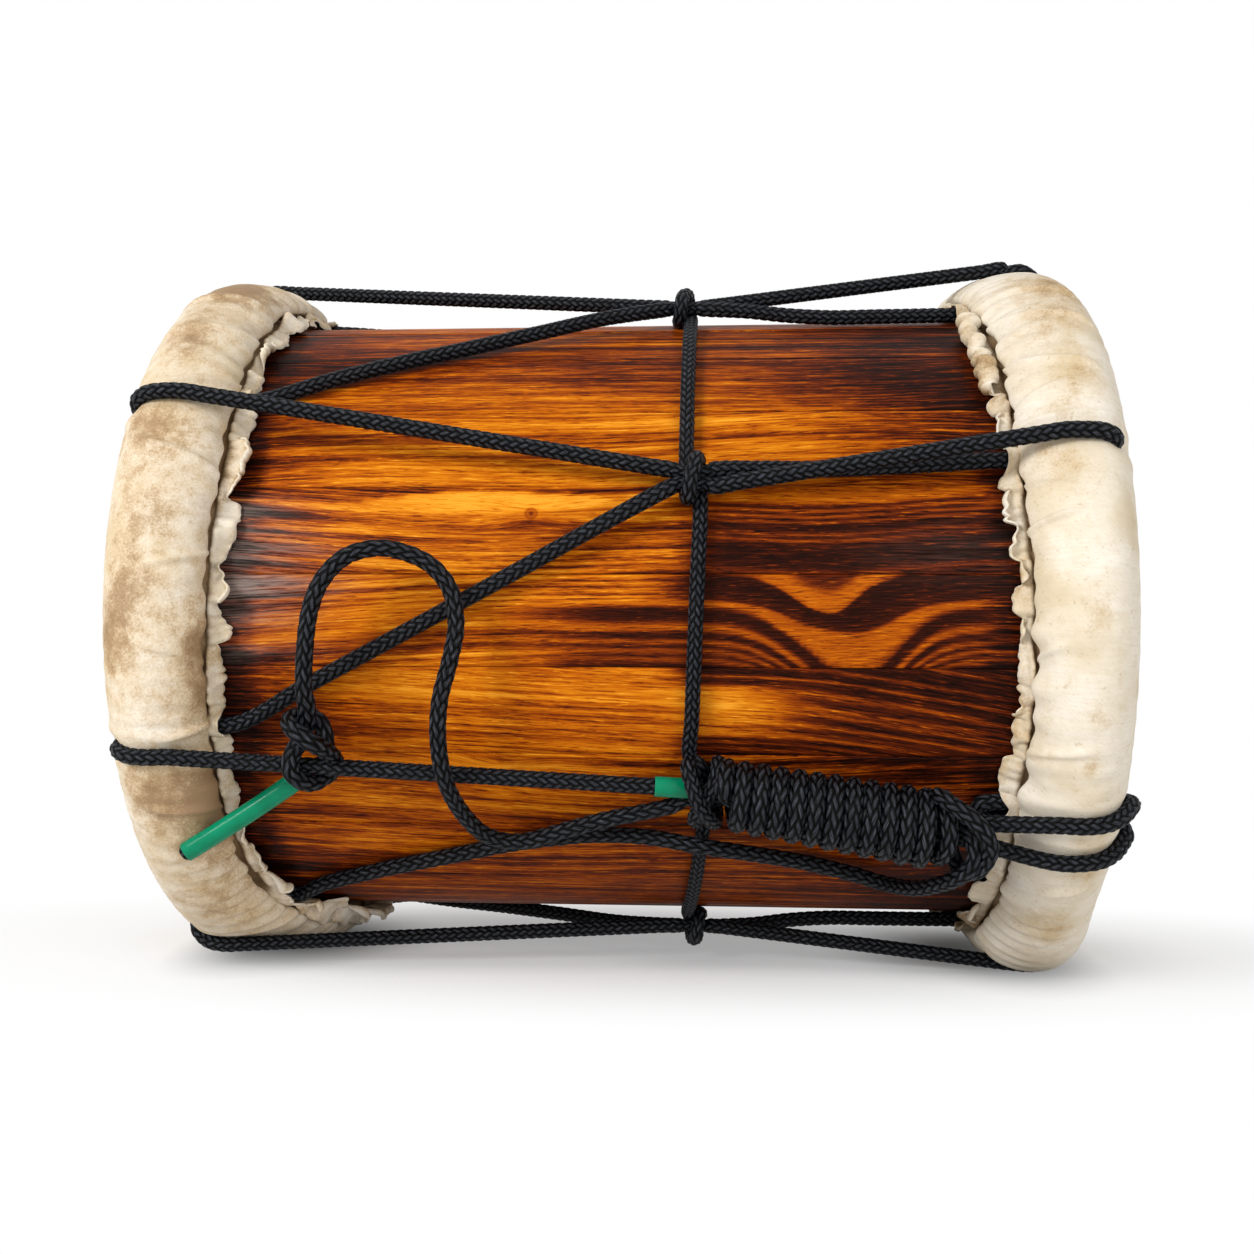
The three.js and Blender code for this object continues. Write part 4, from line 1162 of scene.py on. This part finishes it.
def rimRelief(side, angle, turn):  # how far the hide stands off a smooth rim, in metres
    radius = drum["shellRadius"] + drum["rimHeight"]
    overs = list(zip(lace[sideName(side, "Wraps")], lace[sideName(side, "Tucks")]))
    if side > 0:
        overs.append((lace["secondWrap"], 0))
    seed = 31 if side < 0 else 57
    shape = np.sin(np.radians(turn)).clip(0, 1)
    relief = waves(angle, seed, hide["swells"]) * shape
    relief = relief + waves(angle, seed, hide["fineWrinkles"]) * smoothstep(turn, 20, 90)
    relief = relief + waves(angle, seed, hide["coarseWrinkles"]) * smoothstep(turn, 60, 160)
    relief = relief + waves(angle + hide["slant"] * turn, seed, hide["slantWrinkles"])
    press = plateau(turn, *hide["pressed"])
    dent, dentWidth = hide["laceDent"]
    lip, lipPlace, lipWidth = hide["dentLip"]
    hole, holeWidth, holeSpan = hide["hole"]
    holeTurn, tuckShift = hide["holeTurn"]
    for over, tuck in overs:
        off = np.radians(angleGap(angle, over)) * radius
        relief = relief - dent * np.exp(-(off / dentWidth) ** 2) * press
        relief = relief + lip * np.exp(-((np.abs(off) - lipPlace) / lipWidth) ** 2) * press
        down = angleGap(turn, holeTurn + tuckShift * tuck)
        relief = relief - hole * np.exp(-(off / holeWidth) ** 2 - (down / holeSpan) ** 2)
    heightGain, widthGain = hide["foldGain"]
    for first, final, low, high, height, width in hide[sideName(side, "Folds")]:
        share = np.clip((turn - low) / (high - low), 0, 1.4)
        off = np.radians(angleGap(angle, lerp(first, final, share))) * radius
        fade = smoothstep(turn, high - 25, high + 10)
        relief = relief + heightGain * height * np.exp(-(off / (widthGain * width)) ** 2) * fade
    if side > 0:
        bulge, place, width = hide["bulge"]
        relief = relief + bulge * np.exp(-(angleGap(angle, place) / width) ** 2) * shape ** .5
    gather = sum(amount * plateau(angle, *span) for amount, *span in hide[sideName(side, "Gathers")])
    count, uneven, height = hide["pleats"]
    pleats = np.cos(np.radians(angle) * count + uneven * ripple(angle, 4, 12, seed + 4))
    return relief + height * gather * pleats * smoothstep(turn, 80, 150)


def lapAt(side, angle):
    places, laps = zip(*hide[sideName(side, "Lap")])
    return np.interp(angle, places, np.array(laps) / 1000, period=360)


def hideProfile():  # (x, radius, turn, share of the lap) from the head's middle to the roll, and back inside
    outer = [(drum["headOuterX"], r, -90 + 84 * r / .172, 0) for r in hide["faceRadii"]]
    for turn in np.concatenate([np.arange(1, 23, 3), np.linspace(26, hide["rollTurn"], 46)]):
        outer.append(rimPoint(turn) + (turn, float(smoothstep(turn, 70, 150))))
    x, radius, turn = outer[-1][:3]
    lean = math.radians(turn)
    normal = math.atan2(math.sin(lean) / drum["rimHeight"], math.cos(lean) / drum["rimHalfWidth"])
    centre = (x - hide["rollRadius"] * math.cos(normal), radius - hide["rollRadius"] * math.sin(normal))
    for i in range(1, 9):
        spin = normal + math.radians(14 * i)
        outer.append((centre[0] + hide["rollRadius"] * math.cos(spin),
                      centre[1] + hide["rollRadius"] * math.sin(spin), turn + 3 * i, 1))
    outer += [spot + (1,) for spot in hide["hem"]]
    inside = list(hide["hemBack"])
    for turn in hide["liningTurns"]:
        inside.append(rimPoint(turn, -hide["lining"]) + (0,))
    inside += [(drum["headOuterX"] - hide["headThickness"], r, 0) for r in hide["innerRadii"]]
    return outer, inside


def stainOf(side, angle, turn):
    amount = (.42 if side < 0 else .08) + 0 * angle
    for place, over, halfRound, halfOver, strength in hide[sideName(side, "Stains")]:
        far = (angleGap(angle, place) / halfRound) ** 2 + ((turn - over) / halfOver) ** 2
        amount = amount + strength * np.exp(-far)
    return amount


def hideFinish():
    finish, tree, shader = startFinish("rawHide")
    skin = stored(tree, "skin", "Vector")
    stainAndShade = stored(tree, "stainAndShade")
    place = ownPlace(tree)
    broad = cloudy(place, 28, 3, .55)
    mottle = cloudy(place, 120, 4, .6)
    speckle = cloudy(place, 900, 3, .6)
    veins = cloudy(stretched(skin, (620, 75, 1)), 1, 4, .6)
    cream = mixed(times(between(veins, .42, .62), .16), ramp(broad, hide["ivory"]), srgb(hide["veins"]))
    slanted = added(tree, "VectorRotate", {"Vector": skin, "Angle": .6}, rotation_type="Z_AXIS")[0]
    hairs = cloudy(stretched(slanted, (2300, 260, 1)), 1, 3, .6)
    cream = mixed(times(between(hairs, .48, .7), .26), cream, srgb(hide["hairs"]))
    pores = between(cloudy(place, 340, 2, .6), .64, .72)
    cream = mixed(times(pores, .3), cream, srgb(hide["pores"]))
    spread = plus(stainAndShade, plus(times(mottle, 1.25), -.625))
    spread = plus(spread, swung(speckle, .85))
    colour = mixed(times(between(spread, .05, 1), .75), cream, srgb(hide["tan"]))
    colour = mixed(times(between(spread, .55, 1.25), .7), colour, srgb(hide["deepTan"]))
    coat(shader, colour, plus(.5, times(mottle, .25)), hide["gloss"])
    height = plus(times(veins, .7), times(hairs, .5))
    bumped(shader, height, .3, .0006)
    return finish


rawHide = hideFinish()


def makeHide(side):
    angle = np.arange(hide["columns"]) * 360 / hide["columns"] - 180
    outer, inside = hideProfile()
    lap = lapAt(side, angle)
    scallop = waves(angle, side, hide["scallops"])
    rows, turns, travelled = [], [], []
    travel = 0.0
    for i, (x, radius, turn, share) in enumerate(outer):
        if i:
            travel += math.hypot(x - outer[i - 1][0], radius - outer[i - 1][1])
        relief = rimRelief(side, angle, np.full_like(angle, turn)) * smoothstep(turn, -4, 24)
        roll = smoothstep(turn, 118, 152)
        lean = math.radians(min(turn, hide["rollTurn"]))
        out = relief * max(math.sin(lean), .25)
        forward = relief * math.cos(lean) * (1 if turn > 0 else 0)
        if turn < 0:  # the head itself: faint sags and growth lines
            forward = waves(angle, side, hide["sags"]) * smoothstep(radius, .02, .1) - hide["sunk"]
        rows.append((x + forward - roll * scallop - share * lap, radius + out))
        turns.append(np.full_like(angle, turn))
        travelled.append(np.full_like(angle, travel))
    for x, radius, share in inside:
        rows.append((x - share * lap, np.full_like(angle, radius)))
        turns.append(np.full_like(angle, 90.0))
        travelled.append(np.full_like(angle, travel))
    points = np.stack([polar(side * x, r, angle) for x, r in rows])
    points[..., 2] = points[..., 2].clip(hide["leastHeight"])
    count = len(rows)
    poles = np.array([[side * (drum["headOuterX"] - hide["sunk"]), 0, drum["axisHeight"]],
                      [side * (drum["headOuterX"] - hide["headThickness"]), 0, drum["axisHeight"]]])
    quads, triangles = gridQuads(count, hide["columns"]), endCaps(count, hide["columns"])
    if side > 0:
        quads, triangles = quads[:, ::-1], triangles[:, ::-1]
    name = "hideLeft" if side < 0 else "hideRight"
    piece = makeMesh(name, np.vstack([points.reshape(-1, 3), poles]), quads, triangles)
    turnGrid = np.stack(turns)
    angleGrid = np.repeat(angle[None, :], count, 0)
    arc = np.radians(angleGrid) * hide["arcRadius"]
    skin = np.stack([arc, np.stack(travelled), np.full_like(angleGrid, side)], -1)
    keep(piece, "skin", np.vstack([skin.reshape(-1, 3), skin[0, :2]]))
    keep(piece, "stainAndShade", np.append(stainOf(side, angleGrid, turnGrid).ravel(), [.1, .1]))
    settle(piece, rawHide, "hide", "drum", "head_left" if side < 0 else "head_right")


frill = {
    "columns": 1700,
    "rootX": .2105,
    "rootRadius": .1808,
    "thickness": .0011,
    "notch": (0, .32),  # how much of its reach is left where it is drawn in
    "puff": (.0028, .006),
    "rollRadius": (.0014, .0026),
    "rolled": (1.2, 3.4),  # how far a lip turns back, radians; below the middle of these it turns under
    "arcRadius": .18,
    "skinReach": .012,  # its own place in the hide's pattern
    "skinLayer": 3,
    # uneven waves, as for the hide
    "tipWaves": ((.0007, 90, 300, 2), (.0006, 40, 90, 3)),
    "rollWaves": ((.25, 20, 60, 6),),
    "puffWaves": ((.3, 24, 70, 7),),
    "creases": ((.0009, 90, 230, 8),),
    "ruffles": ((.0016, 45, 80, 9), (.001, 90, 150, 10)),
    "tucks": ((.0014, 16, 50, 11),),
    "sways": ((.0018, 30, 80, 4),),
    "rise": .0016,  # it lifts this much towards its lip, and where it swells against the roll
    # stain and painted shade, in steps from under the roll (-1) to the lip (1) and round it (2); the painted
    # shade darkens it in the hollow by the hide's roll
    "midTone": .58,
    "toneWaves": ((.2, 6, 20, 5),),
    "shades": ((.6, .35, -.2), (-.25, .25, .55), (.2, .7, 1), (-.6, 1.35, 1.9)),
    "underside": .18,
    "hiddenRows": 5,
    "shownRows": 12,
    "rollRows": 12,
    # lobes from the top down: where each begins, how near its tip comes to the drum's middle in mm, and,
    # where that is plain to see, how far it rolls back and where along it the tip is
    "leftLobes": (
        (96, 189), (88, 186), (80, 188), (71, 185), (62, 187), (54, 189), (46, 189), (39, 187, 1.2, .6),
        (28, 184, 2.6, .33), (17, 186, 1.6, .22), (6.9, 188, 2.8, .8), (.4, 188, 1.5, .7),
        (-6.6, 192, 1.8, .4), (-19.2, 192), (-26, 193), (-36, 194), (-44.7, 189), (-52, 179), (-58, 182),
        (-62.5, 170), (-67, 159), (-73, 151), (-79, 148), (-87, 150), (-95, 156),
    ),
    "rightLobes": (
        (98, 192), (90, 190), (80, 188), (70, 186, 1.6), (60.5, 181, 5.4), (46.5, 183, 5.6),
        (36.5, 187, 1.4), (33, 189), (26.5, 192), (23.5, 188), (17.5, 188), (11.9, 191), (6.9, 196),
        (3.5, 192), (-1.4, 198), (-5.5, 195), (-15, 194), (-24, 190), (-32, 192), (-43, 189), (-52, 187),
    ),
    "tipPlace": (.35, .65),  # of the way along a lobe
    "sharpness": .55,
    "lobeEnds": .45,  # how full the roll is at a lobe's ends, and the puff
    "puffEnds": .3,
    "puffClimb": (.55, 1.15),  # from a lobe's flat side to its full one
    "underCurl": -1.5,
    "curlWave": (.2, 7, 6),
    "paleness": (.14, .1),
    "tubeFrom": 5,  # a lip that rolls back further than this makes a tube
    "tubeRadius": .0041,
    "tubePuff": .0012,
    "tubeNotch": .7,
    "tubeSharpness": .2,
    "swellBend": .62,  # below 1, the fullest part is nearer the roll
    "raisedSwell": (.75, .5),
    "creaseBend": .8,
    "tuckPlace": (.3, .22),
    "underLip": .9,
    "thinLip": .6,
    "startUnder": .0045,  # it begins this far under the hide's roll
    "leastReach": .0055,
    "offShell": (.0012, .0022),  # the least height, and where it lies
    "coverLift": .0092,  # over a lace
    "coverWidth": .0062,
    "fullHem": .0075,  # how far the long hem low on the left fills out
    "fullLap": (.012, .026),
    "leadUnder": -59.5,  # where the hank's lead comes out
    "lastLobe": (-104, -62),  # left and right, the first ones out of sight
    "hiddenLobe": (6, 11),  # degrees
    "hiddenTip": (183, 191),
}


def frillLobes(side, source):  # begin, end, tip, roll and a few draws for each lobe, all the way round
    shown = list(frill[sideName(side, "Lobes")])
    place = frill["lastLobe"][0 if side < 0 else 1]
    while place > shown[0][0] - 360 + 5:
        shown.append((place, source.uniform(*frill["hiddenTip"])))
        place -= source.uniform(*frill["hiddenLobe"])
    begins = [lobe[0] for lobe in shown]
    ends = begins[1:] + [begins[0] - 360]
    lobes = []
    for begin, end, lobe in zip(begins, ends, shown):
        draw = source.uniform(0, 1, 5)
        rolled = lobe[2] if len(lobe) > 2 else lerp(*frill["rolled"], draw[1])
        draw[0] = lobe[3] if len(lobe) > 3 else lerp(*frill["tipPlace"], draw[0])
        lobes.append((begin, end, lobe[1] / 1000, rolled, draw))
    return lobes


def frillOutline(side, angle, edgeX, seed):  # for each column, the lip and the fullness behind it
    tip, curl, puff, pale, raised = np.zeros((5, len(angle)))
    roll = np.ones(len(angle))
    curlDepth, curlCount, curlPhase = frill["curlWave"]
    for begin, end, reach, rolled, draw in frillLobes(side, np.random.default_rng(seed)):
        inside = (angle <= begin) & (angle > end)
        u = (begin - angle[inside]) / (begin - end)
        tube = rolled > frill["tubeFrom"]
        upward = rolled > np.mean(frill["rolled"])
        skew = u ** (math.log(.5) / math.log(draw[0]))
        arch = np.sin(math.pi * skew).clip(0) ** (frill["tubeSharpness"] if tube else frill["sharpness"])
        near = frill["tubeNotch"] if tube else lerp(*frill["notch"], draw[3])
        tip[inside] = lerp(edgeX[inside], reach, near + (1 - near) * arch)
        full = lerp(frill["lobeEnds"], 1, arch)
        climb = u if draw[4] > .4 else 1 - u
        uneven = 1 + curlDepth * np.sin(curlCount * u + curlPhase * draw[2])
        curl[inside] = (rolled if upward else frill["underCurl"]) * full * uneven
        roll[inside] = lerp(*frill["rollRadius"], draw[4]) * full
        puffed = lerp(frill["puffEnds"], 1, arch) * lerp(*frill["puffClimb"], climb)
        puff[inside] = lerp(*frill["puff"], draw[2]) * puffed
        if tube:
            roll[inside] = frill["tubeRadius"]
            puff[inside] = frill["tubePuff"]
        pale[inside] = frill["paleness"][0] * draw[2] - frill["paleness"][1] * arch
        raised[inside] = upward
    tip = tip + waves(angle, seed, frill["tipWaves"])
    roll = roll * (1 + waves(angle, seed, frill["rollWaves"]))
    puff = puff * (1 + waves(angle, seed, frill["puffWaves"]))
    return tip, curl, roll, puff, pale, raised


def frillFloor(side, angle):  # how near the axis it may come, higher over a lace
    unders = lace[sideName(side, "Unders")] + (frill["leadUnder"] if side < 0 else lace["secondUnder"],)
    offs = np.radians([angleGap(angle, a) for a in unders]) * frill["arcRadius"] / frill["coverWidth"]
    cover = np.exp(-offs ** 4).sum(0).clip(0, 1)
    return drum["shellRadius"] + frill["offShell"][0] + frill["coverLift"] * cover


def frillRows(side, angle, edgeX, seed, tip, curl, roll, puff, raised):  # x, radius and share of the way out
    low = drum["shellRadius"] + frill["offShell"][1]
    startX = edgeX + frill["startUnder"]
    lip = np.where(curl > 0, np.sin(np.clip(curl, 0, math.pi / 2)), frill["underLip"])
    stopX = np.minimum(tip + roll * lip, startX - frill["leastReach"])
    crease = waves(angle, seed, frill["creases"])
    ruffle = waves(angle, seed, frill["ruffles"])
    tucked = frill["rise"] + waves(angle, seed, frill["tucks"])
    if side < 0:
        tucked = tucked + frill["fullHem"] * smoothstep(lapAt(side, angle), *frill["fullLap"])
    rows = []
    for t in np.linspace(0, 1, frill["hiddenRows"], endpoint=False):
        radius = lerp(frill["rootRadius"], low, smoothstep(t, 0, 1))
        rows.append((lerp(frill["rootX"], startX, t), radius, t - 1))
    height, bend = frill["raisedSwell"]
    tuckAt, tuckWidth = frill["tuckPlace"]
    for t in np.linspace(0, 1, frill["shownRows"]):
        plain = math.sin(math.pi * t ** frill["swellBend"])
        swell = lerp(plain, height * math.sin(math.pi / 2 * t ** bend), raised)
        lift = (frill["rise"] + ruffle) * t + puff * swell
        lift = lift + crease * math.sin(math.pi * t ** frill["creaseBend"])
        lift = lift + tucked * math.exp(-((t - tuckAt) / tuckWidth) ** 2)  # it swells against the hide's roll
        rows.append((lerp(startX, stopX, t), low + lift, t))
    lean = np.arctan2(rows[-1][1] - rows[-2][1], rows[-2][0] - rows[-1][0])
    step = np.abs(curl) * roll / frill["rollRows"]
    for i in range(frill["rollRows"]):
        way = lean + curl * (i + .5) / frill["rollRows"]
        x, radius, share = rows[-1]
        rows.append((x - np.cos(way) * step, radius + np.sin(way) * step, share + 1 / frill["rollRows"]))
    return rows


def makeFrill(side):
    seed = 211 if side < 0 else 353
    columns = frill["columns"]
    top = frill[sideName(side, "Lobes")][0][0]
    angle = top - (np.arange(columns) + .5) * 360 / columns
    edgeX = drum["rimCentreX"] - drum["rimHalfWidth"] - lapAt(side, angle)
    tip, curl, roll, puff, pale, raised = frillOutline(side, angle, edgeX, seed)
    rows = frillRows(side, angle, edgeX, seed, tip, curl, roll, puff, raised)
    lowest = frillFloor(side, angle)
    sway = np.degrees(waves(angle, seed, frill["sways"]) / frill["arcRadius"])
    grid = []
    for x, radius, share in rows:
        swayed = angle + sway * np.clip(share, 0, 1) ** 2
        grid.append(polar(side * x, np.maximum(radius, lowest), swayed))
    middle = np.stack(grid)
    alongRows = np.gradient(middle, axis=0)
    alongColumns = np.roll(middle, -1, 1) - np.roll(middle, 1, 1)
    normal = np.cross(alongRows, alongColumns) * side
    normal /= np.linalg.norm(normal, axis=-1)[..., None]
    half = np.full((len(rows), 1, 1), frill["thickness"] / 2)
    half[-1] *= frill["thinLip"]
    surface = np.concatenate([middle + normal * half, (middle - normal * half)[::-1]])
    quads = gridQuads(2 * len(rows), columns, looped=True)
    name = "frillLeft" if side < 0 else "frillRight"
    piece = makeMesh(name, surface.reshape(-1, 3), quads[:, ::-1] if side > 0 else quads)
    out = np.array([share for x, radius, share in rows])[:, None] + 0 * angle
    # painted shade: darker towards its root, in the hollow under the hide's roll
    tone = frill["midTone"] + waves(angle, seed, frill["toneWaves"]) + pale + shaded(out, frill["shades"])
    stainAndShade = np.concatenate([tone, tone[::-1] + frill["underside"]])
    reach = np.concatenate([out, out[::-1]]) * frill["skinReach"]
    arc = np.radians(angle) * frill["arcRadius"] + 0 * reach
    skin = np.stack([arc, reach, np.full_like(reach, frill["skinLayer"])], -1)
    keep(piece, "skin", skin.reshape(-1, 3))
    keep(piece, "stainAndShade", stainAndShade.ravel())
    settle(piece, rawHide, "hide", "drum")


for side in (-1, 1):
    makeHide(side)
    makeFrill(side)
print("heads made")


def caneFinish():
    finish, tree, shader = startFinish("bentCane")
    grain = cloudy(stretched(ownPlace(tree), (400, 60, 60)), 1, 4)
    feed(shader.inputs["Base Color"], ramp(grain, [(.3, "8d6c3f"), (.7, "b8965f")]))
    feed(shader.inputs["Roughness"], plus(.5, times(grain, .3)))
    return finish


bentCane = caneFinish()
for hoop in ("hoop_left", "hoop_right"):
    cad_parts[hoop].data.materials.clear()
    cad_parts[hoop].data.materials.append(bentCane)
print("hoops finished")

# Studio: pale floor, white surround, soft lamps
studio = {
    "floorColour": "f2f2f2",
    "floorSize": 30,
    # painted contact shadow: near the drum the floor's colour turns to this dark grey, by ambient occlusion
    # within the reach below
    "contactShadowColour": "3a3836",
    "contactReach": .03,  # it darkens where the rims touch
    "floorShadow": (.66, 1),  # how much of the floor's shade shows to the camera, in all and under the rims
    "rimSpot": (.03, .12),  # metres from under a rim's middle
    "whiteFrom": (.05, .2),  # where the floor turns plain white, metres from the drum's middle
    "ambient": .52,
    "lamps": (
        ("key", (-1.25, -1.5, 1.1), .7, 33),
        ("fill", (1.1, -1.8, .6), 1.2, 12),
        ("top", (.1, .1, 2.2), 1.4, 2),
    ),
}


def seenDirectly(tree):  # camera, mirror and glass rays
    path = added(tree, "LightPath", {})
    glossy = calc("MAXIMUM", path["Is Glossy Ray"], path["Is Transmission Ray"])
    return calc("MAXIMUM", path["Is Camera Ray"], glossy)


def floorFinish():
    finish = bpy.data.materials.new("paleFloor")
    finish.use_nodes = True
    tree = finish.node_tree
    tree.nodes.clear()
    # painted contact shadow: ambient occlusion darkens the floor's colour where the rims touch
    contactOcclusion = added(tree, "AmbientOcclusion", {"Distance": studio["contactReach"]})["AO"]
    tone = mixed(contactOcclusion, srgb(studio["contactShadowColour"]), srgb(studio["floorColour"]))
    matt = added(tree, "BsdfDiffuse", {"Color": tone})[0]
    white = added(tree, "Emission", {})[0]
    place = added(tree, "NewGeometry", {})["Position"]
    bare = minus(1, between(farFrom(stretched(place, (.35, 1, 0)), (0, 0, 0)), *studio["whiteFrom"]))
    folded = added(tree, "VectorMath", {0: place}, operation="ABSOLUTE")[0]  # both rims at once
    rimFar = between(farFrom(folded, (drum["rimCentreX"], 0, 0)), *studio["rimSpot"])
    middle, under = studio["floorShadow"]
    plain = minus(1, times(bare, plus(under, times(rimFar, middle - under))))
    blend = added(tree, "MixShader", {0: times(seenDirectly(tree), plain), 1: matt, 2: white})[0]
    added(tree, "OutputMaterial", {"Surface": blend})
    return finish


def makeStudio():
    size = studio["floorSize"]
    corners = [(-size, -size, 0), (size, -size, 0), (size, size, 0), (-size, size, 0)]
    floor = makeMesh("floor", corners, [[0, 1, 2, 3]])
    floor.data.materials.append(floorFinish())
    world = bpy.data.worlds.new("surround")
    scene.world = world
    world.use_nodes = True
    sky = world.node_tree.nodes["Background"]
    sky.inputs["Color"].default_value = (1, 1, 1, 1)
    strength = times(seenDirectly(world.node_tree), 1 - studio["ambient"])
    feed(sky.inputs["Strength"], plus(strength, studio["ambient"]))
    aim = Vector((0, 0, drum["axisHeight"]))
    for name, place, width, power in studio["lamps"]:
        lamp = bpy.data.lights.new(name, "AREA")
        lamp.size = width
        lamp.energy = power
        holder = bpy.data.objects.new(name, lamp)
        holder.location = place
        holder.rotation_euler = (aim - Vector(place)).to_track_quat("-Z", "Y").to_euler()
        scene.collection.objects.link(holder)


makeStudio()
print("studio set")
